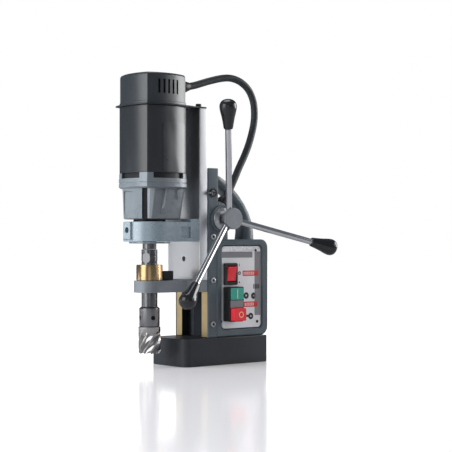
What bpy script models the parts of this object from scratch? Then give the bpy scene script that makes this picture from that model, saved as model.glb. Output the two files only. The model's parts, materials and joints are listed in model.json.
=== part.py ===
"""Magnetic drill press: magnet foot, cast frame with handle, sliding motor carriage, three-spoke capstan.

Lengths below are millimetres and MM turns them into metres.
+X is the capstan side, -Y the spindle side, +Z up.
The origin is the middle of the magnet's lower face.
"""

import math

import bmesh
import bpy
from mathutils import Matrix, Vector

MM = 0.001
GAP = 0.3
UP = (0, 0, 1)

# Magnet foot
BASE_HALF_X = 43.0
BASE_HALF_Y = 80.0
BASE_H = 41.0
BASE_CORNER = 12.0
COIL_SLOT = (10.0, 29.0, 46.0, 66.0)
COIL_DEPTH = 30.0

# Frame casting
COLUMN_X = 40.4
COLUMN_FRONT = -34.0
COLUMN_BACK = -14.8
COLUMN_TOP = 294.5
CHEEK = 2.4
CHANNEL_BACK = -19.7
GIB_INNER = 24.0
SPINE_X = 18.0
SPINE_BACK = 0.5
BOX_X = 42.0
BOX_BACK = 83.8
BOX_TOP = 188.3
BOX_CORNER = 13.0
BOX_EDGE = 2.2
MAINS_INLET = (-20.0, BOX_BACK, 150.0)
FRAME_FOOT = BASE_H + GAP
RECESS = (-10.8, 73.0, 50.5, 181.0)
RECESS_CORNER = 9.0
RECESS_SLOPE = 3.0
RECESS_DEPTH = 4.3
PANEL_T = 1.8
HANDLE_X = 13.0

# Feed shaft and capstan
FEED_Y = -8.6
FEED_Z = 219.0
FEED_R = 6.6
BOSS_R = 21.0
BOSS_X = 43.5
BORE_R = 10.9
SEAT_X = 40.9
PINION_TEETH = 16
PINION_TIP = 11.8
RACK_TIP_Y = -20.7
RACK_PITCH = 4.712
HUB_ROOT_X = 58.4
HUB_FACE_X = 70.8
SPOKE_R = 4.7
SPOKE_LEAN = math.radians(16.6)
SPOKE_START = math.radians(-15.1)
SPOKE_LENGTH = 184.0
KNOB_LENGTH = 44.0

# Gib screws
GIB_SCREW_Y = -25.7
GIB_SCREW_Z = (257.7, 192.2, 126.9, 61.4)

# Slide and support plate
SLIDE_X = 39.2
SLIDE_FRONT = -49.0
SLIDE_BACK = -34.4
SLIDE_Z = (127.8, 382.6)
TONGUE_BACK = -26.2
PLATE_Z = (110.0, 127.5)
PLATE_NOSE_R = 23.0

# Spindle
SPINDLE_Y = -112.8
ARBOR_R = 11.8
HOLDER_R = 15.1
CUTTER_R = 16.3
CUTTER_Z = (20.0, 60.0)
HOLDER_Z = (60.3, 89.0)
ARBOR_TOP = 173.4
FLUTES = 9
FLUTE_R = 14.2
FLUTE_TWIST = math.radians(2.3)

# Motor and gear housing
MOTOR_Y = -107.0
ROTOR_Y = -108.0
CREASE_X = 34.7
CREASE_Y = 35.3
BULGE_X = 8.5
BULGE_Y = 7.5
BRACKET_Z = (185.0, 214.0)
BRACKET_R = 38.6
CLAMP_FACE_Y = SPINDLE_Y - BRACKET_R - 2.4
GEAR_Z = (217.6, 263.0, 277.0, 285.0)
PANEL_FOOT_Y = -143.2
MOTOR_Z = (285.3, 382.6)
TOP_PLATE_Z = (382.9, 385.0)
PLATE_BOLT = (27.0, -42.0)
CAP_Z = (385.3, 430.5)
WALL = 3.2
LAY_Y = -88.0
STATOR_Z = (300.0, 346.0)
VENTS = 5
VENT_PITCH = 8.0
VENT_FIRST = 17.5
VENT_WIDTH = 3.2
VENT_Z = (400.0, 420.5)

# Handle: its outer and inner line as (Y, Z) pairs, from the column to the control box
HANDLE_LINE = (
    ((-6, 292), (-6, 272)),
    ((9.5, 286.5), (6, 270.5)),
    ((23, 279.5), (17, 264)),
    ((36, 270), (29, 255.5)),
    ((50, 257.5), (40, 246.5)),
    ((62, 243.5), (49.5, 237.5)),
    ((71, 230), (56, 228)),
    ((77.4, 216), (59.6, 215)),
    ((81, 201), (59.8, 200)),
    ((82.3, 184), (57.5, 184)),
)

# Controls
PANEL_X = BOX_X - RECESS_DEPTH + GAP
FACE_X = PANEL_X + PANEL_T + GAP
ROCKER_Y = (-5.0, 20.5)
ROCKER_Z = (119.5, 152.5)
SWITCH_Y = (-5.0, 23.0)
SWITCH_Z = (64.5, 117.0)
SWITCH_FACE = 55.5
ROCKER_PIVOT_X = 40.5

# Conduit and its glands
GLAND_FOOT = Vector((34.0, -8.5, 235.5))
GLAND_TOP = Vector((33.2, 4.2, 250.2))
GLAND_R = 8.2
MOTOR_GLAND = Vector((14.0, MOTOR_Y + 43.6, 415.2))
MOTOR_GLAND_AXIS = Vector((0.0, 1.0, 0.12)).normalized()
CONDUIT_PATH = (
    (14.0, -37.0, 420.0), (14.8, -13.4, 427.4), (16.6, 10.0, 433.4), (18.2, 28.1, 435.0),
    (20.0, 45.7, 430.5), (21.5, 60.5, 419.5), (23.0, 69.0, 402.7), (24.2, 70.7, 382.9),
    (25.6, 67.2, 363.0), (27.4, 57.5, 337.6), (28.8, 46.9, 317.5), (30.4, 34.0, 297.3),
    (31.6, 25.1, 282.3), (32.5, 14.0, 264.0),
)
CONDUIT_R = 5.4


def clear_scene():
    for obj in list(bpy.data.objects):
        bpy.data.objects.remove(obj, do_unlink=True)
    for coll in list(bpy.data.collections):
        bpy.data.collections.remove(coll)


def new_collection(name, hidden=False):
    coll = bpy.data.collections.new(name)
    bpy.context.scene.collection.children.link(coll)
    coll.hide_render = hidden
    return coll


clear_scene()
NODES = new_collection("magnetic_drill_press")
CUTTERS = new_collection("cutters", hidden=True)


def material(name, colour, metallic, roughness, coat=0.0):
    mat = bpy.data.materials.new(name)
    mat.use_nodes = True
    shader = mat.node_tree.nodes["Principled BSDF"]
    shader.inputs["Base Color"].default_value = (*colour, 1.0)
    shader.inputs["Metallic"].default_value = metallic
    shader.inputs["Roughness"].default_value = roughness
    shader.inputs["Coat Weight"].default_value = coat
    return mat


MATS = {
    "frame_paint": material("frame_paint", (0.10, 0.13, 0.15), 0.0, 0.42, 0.2),
    "base_steel": material("base_steel", (0.045, 0.048, 0.053), 0.6, 0.5),
    "motor_plastic": material("motor_plastic", (0.035, 0.038, 0.043), 0.0, 0.38),
    "gear_alloy": material("gear_alloy", (0.33, 0.36, 0.39), 0.7, 0.38),
    "bracket_paint": material("bracket_paint", (0.22, 0.28, 0.32), 0.1, 0.4),
    "aluminium": material("aluminium", (0.83, 0.83, 0.85), 1.0, 0.25),
    "steel": material("steel", (0.42, 0.42, 0.43), 1.0, 0.3),
    "chrome": material("chrome", (0.80, 0.80, 0.82), 1.0, 0.1),
    "brass": material("brass", (0.78, 0.56, 0.28), 1.0, 0.28),
    "cutter_steel": material("cutter_steel", (0.62, 0.60, 0.58), 1.0, 0.22),
    "knob_plastic": material("knob_plastic", (0.018, 0.02, 0.022), 0.0, 0.12, 0.5),
    "black_plastic": material("black_plastic", (0.012, 0.013, 0.014), 0.0, 0.4),
    "label": material("label", (0.55, 0.55, 0.56), 0.4, 0.4),
    "red_plastic": material("red_plastic", (0.62, 0.03, 0.035), 0.0, 0.3),
    "green_plastic": material("green_plastic", (0.03, 0.30, 0.18), 0.0, 0.35),
    "rubber": material("rubber", (0.02, 0.022, 0.024), 0.0, 0.55),
    "copper": material("copper", (0.72, 0.30, 0.16), 1.0, 0.35),
    "epoxy": material("epoxy", (0.20, 0.12, 0.05), 0.0, 0.45),
    "circuit": material("circuit", (0.02, 0.14, 0.06), 0.0, 0.4),
}


def make(name, points, faces, mat, origin=(0, 0, 0), cutter=False):
    """An object from points in millimetres, its origin placed at `origin`."""
    mesh = bpy.data.meshes.new(name)
    start = Vector(origin)
    mesh.from_pydata([(Vector(p) - start) * MM for p in points], [], faces)
    bm = bmesh.new()
    bm.from_mesh(mesh)
    bmesh.ops.recalc_face_normals(bm, faces=bm.faces[:])
    bm.to_mesh(mesh)
    bm.free()
    obj = bpy.data.objects.new(name, mesh)
    obj.location = start * MM
    (CUTTERS if cutter else NODES).objects.link(obj)
    if cutter:
        obj.hide_render = True
        obj.display_type = "WIRE"
    else:
        mesh.materials.append(MATS[mat])
    return obj


def place(axis, u, v, h):
    if axis == "X":
        return (h, u, v)
    if axis == "Y":
        return (u, h, v)
    return (u, v, h)


def swept_faces(count, rings):
    faces = [tuple(range(count))]
    for k in range(rings - 1):
        low = k * count
        for i in range(count):
            j = (i + 1) % count
            faces.append((low + i, low + j, low + count + j, low + count + i))
    last = (rings - 1) * count
    faces.append(tuple(range(last, last + count)))
    return faces


def loft(name, rings, mat, axis="Z", origin=(0, 0, 0), cutter=False):
    """A solid through rings of (height, outline), all with the same number of points."""
    count = len(rings[0][1])
    points = []
    for height, outline in rings:
        points += [place(axis, u, v, height) for u, v in outline]
    return make(name, points, swept_faces(count, len(rings)), mat, origin, cutter)


def prism(name, outline, h0, h1, mat, axis="Z", origin=(0, 0, 0), cutter=False):
    return loft(name, [(h0, outline), (h1, outline)], mat, axis, origin, cutter)


def rect(u0, u1, v0, v1):
    return [(u0, v0), (u1, v0), (u1, v1), (u0, v1)]


def rounded(u0, u1, v0, v1, radii, inset=0.0, steps=5):
    """A rectangle with a radius at each corner: (u0,v0), (u1,v0), (u1,v1), (u0,v1)."""
    u0, u1, v0, v1 = u0 + inset, u1 - inset, v0 + inset, v1 - inset
    if not isinstance(radii, (tuple, list)):
        radii = (radii,) * 4
    corners = ((u0, v0, 1, 1, 180), (u1, v0, -1, 1, 270), (u1, v1, -1, -1, 0), (u0, v1, 1, -1, 90))
    outline = []
    for (cu, cv, su, sv, start), r in zip(corners, radii):
        r = max(r - inset, 0.2)
        for k in range(steps + 1):
            a = math.radians(start + 90 * k / steps)
            outline.append((cu + su * r + r * math.cos(a), cv + sv * r + r * math.sin(a)))
    return outline


def block(name, x, y, z, mat, radius=0.0, origin=(0, 0, 0), cutter=False, axis="Z"):
    """A box between (x0, x1), (y0, y1), (z0, z1), its edges along `axis` rounded."""
    pairs = {"Z": (x, y, z), "X": (y, z, x), "Y": (x, z, y)}[axis]
    (u0, u1), (v0, v1), (h0, h1) = pairs
    if not radius:
        return prism(name, rect(u0, u1, v0, v1), h0, h1, mat, axis, origin, cutter)
    edge = min(radius, (h1 - h0) / 4, 1.0)
    full = rounded(u0, u1, v0, v1, radius)
    small = rounded(u0, u1, v0, v1, radius, edge * 0.7)
    rings = [(h0, small), (h0 + edge * 0.7, full), (h1 - edge * 0.7, full), (h1, small)]
    return loft(name, rings, mat, axis, origin, cutter)


def frame_of(direction):
    return Vector(direction).normalized().to_track_quat("Z", "Y").to_matrix()


def lathe(name, profile, mat, at=(0, 0, 0), direction=UP, origin=None, steps=32, cutter=False):
    """A solid of (radius, height) points turned about the line through `at`. Off the axis it is a ring."""
    turn = frame_of(direction)
    points = []
    index = []
    for r, h in profile:
        if r < 1e-6:
            index.append([len(points)] * steps)
            points.append(Vector(at) + turn @ Vector((0, 0, h)))
            continue
        index.append(list(range(len(points), len(points) + steps)))
        for k in range(steps):
            a = 2 * math.pi * k / steps
            points.append(Vector(at) + turn @ Vector((r * math.cos(a), r * math.sin(a), h)))
    pairs = list(zip(index, index[1:]))
    if profile[0][0] > 1e-6 and profile[-1][0] > 1e-6:
        pairs.append((index[-1], index[0]))
    faces = []
    for low, high in pairs:
        for k in range(steps):
            j = (k + 1) % steps
            corners = [low[k], low[j], high[j], high[k]]
            kept = [c for n, c in enumerate(corners) if c not in corners[:n]]
            if len(kept) > 2:
                faces.append(tuple(kept))
    return make(name, points, faces, mat, at if origin is None else origin, cutter)


def rod(name, r, h0, h1, mat, at=(0, 0, 0), direction=UP, origin=None, steps=32, cutter=False, edge=0.0):
    """A round bar from height h0 to h1 along the line through `at`, its ends chamfered by `edge`."""
    if edge:
        profile = [(0, h0), (r - edge, h0), (r, h0 + edge), (r, h1 - edge), (r - edge, h1), (0, h1)]
    else:
        profile = [(0, h0), (r, h0), (r, h1), (0, h1)]
    return lathe(name, profile, mat, at, direction, origin, steps, cutter)


def boolean(obj, other, operation="DIFFERENCE"):
    mod = obj.modifiers.new(f"{operation.lower()}_{other.name}", "BOOLEAN")
    mod.operation = operation
    mod.object = other
    mod.solver = "EXACT"
    return obj


def cut(obj, *others):
    for other in others:
        boolean(obj, other)
    return obj


def join(obj, *others):
    for other in others:
        boolean(obj, other, "UNION")
    return obj


def bulged(ax, ay, bx, by, centre_y=MOTOR_Y, steps=6):
    """A square with creased corners at (ax, ay), its sides bowed outwards by bx and by."""

    def side(half, sagitta):
        r = (half * half + sagitta * sagitta) / (2 * sagitta)
        end = math.asin(half / r)
        for k in range(steps):
            a = -end + 2 * end * k / steps
            yield r * math.sin(a), r * math.cos(a) - (r - sagitta)

    outline = [(t, -ay - s) for t, s in side(ax, by)]
    outline += [(ax + s, t) for t, s in side(ay, bx)]
    outline += [(-t, ay + s) for t, s in side(ax, by)]
    outline += [(-ax - s, -t) for t, s in side(ay, bx)]
    return [(u, v + centre_y) for u, v in outline]


def eight_sided(ax, ay, centre_y, chamfer, bow=2.5, steps=6):
    """A rectangle of half sizes ax by ay with cut corners, its sides bowed outwards by `bow`."""

    def side(half):
        for k in range(steps + 1):
            t = -1 + 2 * k / steps
            yield t * half, bow * (1 - t * t)

    outline = [(t, -ay - s) for t, s in side(ax - chamfer)]
    outline += [(ax + s, t) for t, s in side(ay - chamfer)]
    outline += [(-t, ay + s) for t, s in side(ax - chamfer)]
    outline += [(-ax - s, -t) for t, s in side(ay - chamfer)]
    return [(u, v + centre_y) for u, v in outline]


def motor_outline(offset):
    """The motor's section, grown or shrunk by `offset`."""
    corner = offset * 0.8
    bow = offset * 0.2
    return bulged(CREASE_X + corner, CREASE_Y + corner, BULGE_X + bow, BULGE_Y + bow)


def toothed(teeth, tip, root, centre=(0, 0), turn=0.0):
    outline = []
    pitch = 2 * math.pi / teeth
    for k in range(teeth):
        for share, r in ((-0.30, root), (-0.14, tip), (0.14, tip), (0.30, root)):
            a = turn + (k + share) * pitch
            outline.append((centre[0] + r * math.cos(a), centre[1] + r * math.sin(a)))
    return outline


# ---------------------------------------------------------------- magnet foot


def magnet_foot():
    sides = (-BASE_HALF_X, BASE_HALF_X, -BASE_HALF_Y, BASE_HALF_Y)
    radii = (BASE_CORNER, BASE_CORNER, 1.5, 1.5)
    outer = rounded(*sides, radii)
    small = rounded(*sides, radii, 0.8)
    body = loft("magnet_body", [(0, outer), (BASE_H - 0.8, outer), (BASE_H, small)], "base_steel")
    pole_x, slot_x, pole_y, slot_y = COIL_SLOT
    slot = rounded(-slot_x, slot_x, -slot_y, slot_y, 8)
    pole = rounded(-pole_x, pole_x, -pole_y, pole_y, 5)
    slot = prism("coil_slot", slot, -1, COIL_DEPTH, None, cutter=True)
    cut(slot, prism("pole", pole, -2, COIL_DEPTH + 1, None, cutter=True))
    cut(body, slot)
    racetrack("magnet_coil", 4.0, COIL_DEPTH - GAP, 0.8, "copper")
    racetrack("magnet_seal", 0.4, 3.6, GAP, "epoxy")


def racetrack(name, z0, z1, gap, mat):
    """A ring round the magnet's middle pole, clear of its slot's walls by `gap`."""
    pole_x, slot_x, pole_y, slot_y = COIL_SLOT
    ring = prism(name, rounded(-slot_x, slot_x, -slot_y, slot_y, 8, gap), z0, z1, mat)
    hole = rounded(-pole_x, pole_x, -pole_y, pole_y, 5, -gap)
    return cut(ring, prism(name + "_hole", hole, z0 - 1, z1 + 1, None, cutter=True))


# -------------------------------------------------------------- frame casting


def handle():
    """The carrying handle: a rounded section swept between its outer and inner lines."""
    points = []
    section = rounded(-1, 1, 0, 1, 0.42, steps=3)
    for outer, inner in HANDLE_LINE:
        for across, share in section:
            y = inner[0] + (outer[0] - inner[0]) * share
            z = inner[1] + (outer[1] - inner[1]) * share
            points.append((across * HANDLE_X, y, z))
    return make("handle_bar", points, swept_faces(len(section), len(HANDLE_LINE)), None, cutter=True)


def casting_block(name, x, y, z, radius=0.0, axis="Z"):
    """A box that is joined to the frame casting, or cut from it."""
    return block(name, x, y, z, None, radius, cutter=True, axis=axis)


def control_box():
    """The lower box of the casting, its back corners rounded and its side edges softened."""
    radii = (2.0, BOX_CORNER, BOX_CORNER, 2.0)
    sides = (COLUMN_BACK - 4, BOX_BACK, FRAME_FOOT, BOX_TOP)
    full = rounded(*sides, radii)
    small = rounded(*sides, radii, BOX_EDGE)
    rings = [(-BOX_X, small), (-BOX_X + BOX_EDGE, full), (BOX_X - BOX_EDGE, full), (BOX_X, small)]
    return loft("frame_casting", rings, "frame_paint", "X")


def column_and_boss():
    """The column's outer block, its spine, the feed boss through it and the web under the boss."""
    front = (COLUMN_FRONT, COLUMN_BACK)
    column = casting_block("column", (-COLUMN_X, COLUMN_X), front, (FRAME_FOOT, COLUMN_TOP), 1.2)
    depth = (CHANNEL_BACK + 0.5, SPINE_BACK)
    spine = casting_block("spine", (-SPINE_X, SPINE_X), depth, (FRAME_FOOT + 3, COLUMN_TOP - 1.5), 2.0)
    axis = (0, FEED_Y, FEED_Z)
    right = (1, 0, 0)
    boss = rod("feed_boss", BOSS_R, -BOSS_X, BOSS_X, None, axis, right, steps=34, cutter=True, edge=0.8)
    web = casting_block("web", (-34, 34), (-20, 10.5), (180, 214), 3.0)
    return column, spine, boss, web


def feed_bore():
    """The bore for the feed shaft, wider at the pinion, with a seat for the right-hand bush's cap."""
    clear = PINION_TIP + 0.8
    seat = 16.8
    stepped = [
        (0, -50), (BORE_R, -50), (BORE_R, -9.6), (clear, -9.6), (clear, 9.6), (BORE_R, 9.6),
        (BORE_R, SEAT_X), (seat, SEAT_X), (seat, 50.5), (0, 50.5),
    ]
    return lathe("feed_bore", stepped, None, (0, FEED_Y, FEED_Z), (1, 0, 0), steps=28, cutter=True)


def control_recess():
    floor = rounded(*RECESS, RECESS_CORNER, RECESS_SLOPE)
    lip = rounded(*RECESS, RECESS_CORNER)
    return loft("recess", [(BOX_X - RECESS_DEPTH, floor), (BOX_X + 1, lip)], None, "X", cutter=True)


def frame():
    body = join(control_box(), *column_and_boss(), handle())
    width = COLUMN_X - CHEEK
    height = (FRAME_FOOT - 5, COLUMN_TOP + 5)
    channel = casting_block("channel", (-width, width), (COLUMN_FRONT - 5, CHANNEL_BACK), height)
    cavity = casting_block("cavity", (-BOX_X + 4, BOX_X + 1), (-6.5, 68.5), (56.0, 175.5), 9.0, "X")
    way = GLAND_TOP - GLAND_FOOT
    pocket = rod("gland_pocket", GLAND_R + 0.4, 0, 60, None, GLAND_FOOT, way, cutter=True, steps=24)
    cut(body, channel, feed_bore(), cavity, control_recess(), pocket)
    for k, z in enumerate(GIB_SCREW_Z):
        at = (0, GIB_SCREW_Y, z)
        cut(body, rod(f"gib_hole_{k + 1}", 2.8, 30, 50, None, at, (1, 0, 0), steps=20, cutter=True))
    cut(body, rod("inlet_hole", 7.4, -20, 20, None, MAINS_INLET, (0, 1, 0), steps=24, cutter=True))


def gibs_and_screws():
    depth = (COLUMN_FRONT, CHANNEL_BACK - GAP)
    height = (FRAME_FOOT + GAP, COLUMN_TOP - 0.6)
    for name, sign in (("gib_left", -1), ("gib_right", 1)):
        xs = sorted((sign * GIB_INNER, sign * (COLUMN_X - CHEEK - GAP)))
        block(name, xs, depth, height, "brass", 0.6)
    for k, z in enumerate(GIB_SCREW_Z):
        profile = [
            (0, 38.4), (2.5, 38.4), (2.5, 40.7), (4.3, 40.7), (4.3, 42.4), (3.8, 42.9),
            (1.7, 42.9), (1.7, 41.2), (0, 41.2),
        ]
        lathe(f"gib_screw_{k + 1}", profile, "steel", (0, GIB_SCREW_Y, z), (1, 0, 0), steps=20)


def feed_bushes():
    at = (0, FEED_Y, FEED_Z)
    r = BORE_R - GAP
    ring = [(FEED_R + GAP, 22), (r, 22), (r, 41.6), (r - 0.6, 42.2), (FEED_R + GAP, 42.2)]
    lathe("feed_bush_right", ring, "steel", at, (1, 0, 0))
    cap = [
        (0, 42.0), (FEED_R + GAP, 42.0), (FEED_R + GAP, 22), (r, 22), (r, 43.9), (16.5, 43.9), (16.5, 45.6),
        (15.8, 46.3), (0, 46.3),
    ]
    lathe("feed_bush_left", cap, "steel", at, (-1, 0, 0))


def glands():
    up = GLAND_TOP - GLAND_FOOT
    length = up.length
    profile = [
        (0, GAP), (GLAND_R, GAP), (GLAND_R, 8.0), (6.8, 8.8), (6.8, length - 1.4), (6.0, length - 0.3),
        (3.0, length - 0.3), (3.0, length - 4), (0, length - 4),
    ]
    lathe("conduit_gland", profile, "aluminium", GLAND_FOOT, up, steps=24)
    profile = [
        (0, -8), (7.0, -8), (7.0, 0.4), (9.2, 0.4), (9.2, 8), (7.6, 9.5), (7.0, 18), (6.0, 19), (3.6, 19),
        (3.6, 6), (0, 6),
    ]
    lathe("mains_gland", profile, "rubber", MAINS_INLET, (0, 1, 0), steps=24)


# ------------------------------------------------------------------- controls

def panel_opening(name, ys, zs, lip):
    """The hole for a switch in the panel, smaller than the switch by `lip` all round, as (Y, Z) spans."""
    ys = (ys[0] + lip, ys[1] - lip)
    zs = (zs[0] + lip, zs[1] - lip)
    return ys, zs, block(name, (30, 50), ys, zs, None, cutter=True)


def inner(span, gap):
    return span[0] + gap, span[1] - gap


def controls():
    outline = rounded(*RECESS, RECESS_CORNER, RECESS_SLOPE + GAP)
    panel = prism("control_panel", outline, PANEL_X, PANEL_X + PANEL_T, "label", "X")
    rocker_y, rocker_z, rocker_hole = panel_opening("rocker_hole", ROCKER_Y, ROCKER_Z, 2.2)
    switch_y, switch_z, switch_hole = panel_opening("switch_hole", SWITCH_Y, SWITCH_Z, 1.6)
    cut(panel, rocker_hole, switch_hole)
    magnet_switch(rocker_y, rocker_z)
    motor_switch(switch_y, switch_z)


def magnet_switch(ys, zs):
    """The rocker's bezel, open through its body, and the rocker in it."""
    bezel = block("switch_bezel", (FACE_X, FACE_X + 4.6), ROCKER_Y, ROCKER_Z, "black_plastic", 2.5, axis="X")
    back = block("bezel_back", (24, FACE_X + 1), inner(ys, GAP), inner(zs, GAP), None, cutter=True)
    well = block("bezel_well", (26, 60), inner(ys, 1.8), inner(zs, 1.8), None, cutter=True)
    cut(join(bezel, back), well)
    rocker(ys, zs)


def motor_switch(ys, zs):
    """The box of the start and stop switch, a well in it for each button, and the two buttons."""
    depth = (FACE_X, SWITCH_FACE)
    body = block("motor_switch_box", depth, SWITCH_Y, SWITCH_Z, "black_plastic", 2.5, axis="X")
    join(body, block("switch_back", (20, FACE_X + 1), inner(ys, GAP), inner(zs, GAP), None, cutter=True))
    mid_y = sum(SWITCH_Y) / 2
    button_y = (mid_y - 11.8, mid_y + 11.8)
    for name, z, top, mat in (
        ("start_button", (97.2, 115.4), 57.2, "green_plastic"),
        ("stop_button", (66.0, 85.0), 64.0, "red_plastic"),
    ):
        cut(body, block(name + "_well", (44, 70), inner(button_y, -0.4), inner(z, -0.4), None, cutter=True))
        block(name, (48.5, top), button_y, z, mat, 1.8, (50, mid_y, sum(z) / 2), axis="X")


def rocker(ys, zs):
    """A paddle with its two halves tilted, on the pivot line along Y."""
    mid = (zs[0] + zs[1]) / 2
    half = (zs[1] - zs[0]) / 2 - 2.4
    top = PANEL_X + PANEL_T + 4.2
    high = mid + half - 0.8
    low = mid - half + 0.8
    outline = [
        (32.0, mid - 5), (32.0, mid + 5), (38.5, high), (top + 3.6, high - 0.1), (top + 4.0, high - 1.1),
        (top + 1.6, mid), (top + 0.6, low + 0.4), (top - 0.4, low), (38.5, low),
    ]
    origin = (ROCKER_PIVOT_X, (ys[0] + ys[1]) / 2, mid)
    prism("magnet_rocker", outline, ys[0] + 2.3, ys[1] - 2.3, "red_plastic", "Y", origin)


def electronics():
    block("control_board", (-10, -8.2), (2, 62), (66, 166), "circuit")


# ------------------------------------------------------------------- carriage


def slide():
    z0, z1 = SLIDE_Z
    full = rounded(-SLIDE_X, SLIDE_X, SLIDE_FRONT, SLIDE_BACK, 1.2)
    body = prism("slide", full, z0, z1, "aluminium")
    width = GIB_INNER - GAP
    depth = (SLIDE_BACK - 3, TONGUE_BACK)
    join(body, block("tongue", (-width, width), depth, (z0, z1 - 4), None, cutter=True))
    hole = rod("slide_hole", 3.8, -1, 9, None, (0, SLIDE_FRONT, 158.9), (0, 1, 0), steps=20, cutter=True)
    cut(body, hole)
    for k, sign in enumerate((-1, 1)):
        at = (sign * PLATE_BOLT[0], PLATE_BOLT[1], z1)
        cut(body, rod(f"slide_tap_{k}", 2.4, -12, 5, None, at, steps=16, cutter=True))


def rack():
    """A toothed bar on the tongue's back."""
    z0, z1 = SLIDE_Z[0] + 1, SLIDE_Z[1] - 6
    back = TONGUE_BACK + GAP
    root = RACK_TIP_Y - 3.2
    outline = [(back, z0), (root, z0)]
    z = z0 + 0.8
    while z + RACK_PITCH < z1:
        outline += [(root, z), (RACK_TIP_Y, z + 0.9), (RACK_TIP_Y, z + 2.2), (root, z + 3.1)]
        z += RACK_PITCH
    outline += [(root, z1), (back, z1)]
    prism("rack", outline, -8, 8, "steel", "X")


def d_shape(radius, centre_y, back_y, inset=0.0, steps=20):
    outline = [(radius - inset, back_y - inset)]
    for k in range(steps + 1):
        a = -math.pi * k / steps
        outline.append(((radius - inset) * math.cos(a), centre_y + (radius - inset) * math.sin(a)))
    outline.append((-radius + inset, back_y - inset))
    return outline


def bracket():
    """The spindle's bracket: a round-nosed casting with an arm to the slide and a clamp pad in front."""
    z0, z1 = BRACKET_Z
    back = SLIDE_FRONT - GAP
    edge = 0.9
    full = d_shape(BRACKET_R, SPINDLE_Y, back)
    small = d_shape(BRACKET_R, SPINDLE_Y, back, edge)
    rings = [(z0, small), (z0 + edge, full), (z1 - edge, full), (z1, small)]
    body = loft("motor_bracket", rings, "bracket_paint")
    arm = block("bracket_arm", (-BRACKET_R, BRACKET_R), (-66, back), (z0 + 2, 218.6), None, 1.5, cutter=True)
    depth = (CLAMP_FACE_Y, CLAMP_FACE_Y + 10.4)
    pad = block("bracket_pad", (-8.5, 8.5), depth, (z0 + 3.2, z1 - 0.2), None, 1.2, cutter=True)
    join(body, arm, pad)
    clamp_at = (0, CLAMP_FACE_Y, 201.5)
    cut(body, rod("spindle_bore", 14, z0 - 5, z1 + 5, None, (0, SPINDLE_Y, 0), cutter=True))
    cut(body, rod("clamp_hole", 4.6, -6, 22, None, clamp_at, (0, 1, 0), steps=20, cutter=True))
    for k, sign in enumerate((-1, 1)):
        xs = sorted((sign * (BRACKET_R - 3), sign * (BRACKET_R + 5)))
        cut(body, block(f"side_pocket_{k}", xs, (-84, -65.5), (190.5, 206.5), None, cutter=True))
    rod("bracket_clamp_screw", 4.2, 4, 20, "steel", clamp_at, (0, 1, 0), steps=20, edge=0.4)


def bearings():
    z0, z1 = BRACKET_Z
    top = z0 - GAP
    ring = [(11.0, 182.0), (29.4, 182.0), (30.2, 182.8), (30.2, top), (11.0, top)]
    lathe("bearing_cap", ring, "bracket_paint", (0, SPINDLE_Y, 0), steps=32)
    ring = [(11.0, z0 + 1), (13.7, z0 + 1), (13.7, z1 - 2), (11.0, z1 - 2)]
    lathe("spindle_bearing", ring, "steel", (0, SPINDLE_Y, 0))


def support():
    z0, z1 = PLATE_Z
    back = COLUMN_FRONT - 0.6
    right = [(PLATE_NOSE_R + 1.5, -62), (SLIDE_X - 2.5, -52), (SLIDE_X, -49.5), (SLIDE_X, back)]
    outline = right + [(-x, y) for x, y in reversed(right)]
    for k in range(21):
        a = math.pi + math.pi * k / 20
        outline.append((PLATE_NOSE_R * math.cos(a), SPINDLE_Y + PLATE_NOSE_R * math.sin(a)))
    plate = prism("support_plate", outline, z0, z1, "bracket_paint")
    cut(plate, rod("plate_bore", ARBOR_R + 0.8, z0 - 5, z1 + 5, None, (0, SPINDLE_Y, 0), cutter=True))
    ring = [
        (ARBOR_R + 0.4, z1 + GAP), (19.0, z1 + GAP), (19.5, z1 + 0.9), (19.5, 150.3), (18.8, 151.0),
        (ARBOR_R + 0.4, 151.0),
    ]
    lathe("coolant_ring", ring, "brass", (0, SPINDLE_Y, 0), steps=32)
    block("coolant_elbow", (-6.5, 6.5), (-93.0, -73.0), (z1 + GAP, 141.3), "black_plastic", 1.5)


def gear_housing():
    """A hollow casting that widens from the bracket up to the motor's flange, with posts at its corners."""
    z0, z1, z2, z3 = GEAR_Z
    rings = [
        (z0, eight_sided(28.0, 33.5, MOTOR_Y - 1.4, 6.0)), (z0 + 2, eight_sided(29.3, 34.8, MOTOR_Y - 1.4, 6.3)),
        (z1 + 1, eight_sided(30.5, 38.7, MOTOR_Y + 1.5, 6.3)),
    ]
    flange = prism("flange", motor_outline(0.9), z1, z2, None, cutter=True)
    body = join(loft("gear_housing", rings, "gear_alloy"), flange, flange_posts(z2, z3))
    rings = [(z0 + 5, bulged(20.5, 26.5, 3.0, 3.0)), (z1 + 3, bulged(24.5, 31.5, 3.0, 3.0, MOTOR_Y + 1.5))]
    hollow = loft("gear_hollow", rings, None, cutter=True)
    throat = prism("motor_throat", motor_outline(-WALL), z1 + 2.5, z3 + 5, None, cutter=True)
    bore = rod("gear_floor", 12.5, z0 - 5, z0 + 10, None, (0, SPINDLE_Y, 0), cutter=True)
    front = rect(-20, 5, -200, PANEL_FOOT_Y)
    cut(body, hollow, throat, bore, prism("front_panel_recess", front, 226, 259, None, cutter=True))


def flange_posts(z2, z3):
    """What is left of a rim between the flange and the motor after air gaps are cut in its four sides."""
    posts = prism("posts", motor_outline(0.4), z2 - 3, z3, None, cutter=True)
    gap = (MOTOR_Y - 27, MOTOR_Y + 27)
    side_gap = block("post_gap_x", (-60, 60), gap, (z2 - 5, z3 + 5), None, cutter=True)
    depth = (MOTOR_Y - 70, MOTOR_Y + 70)
    end_gap = block("post_gap_y", (-22.5, 22.5), depth, (z2 - 6, z3 + 6), None, cutter=True)
    return cut(posts, side_gap, end_gap)


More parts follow.
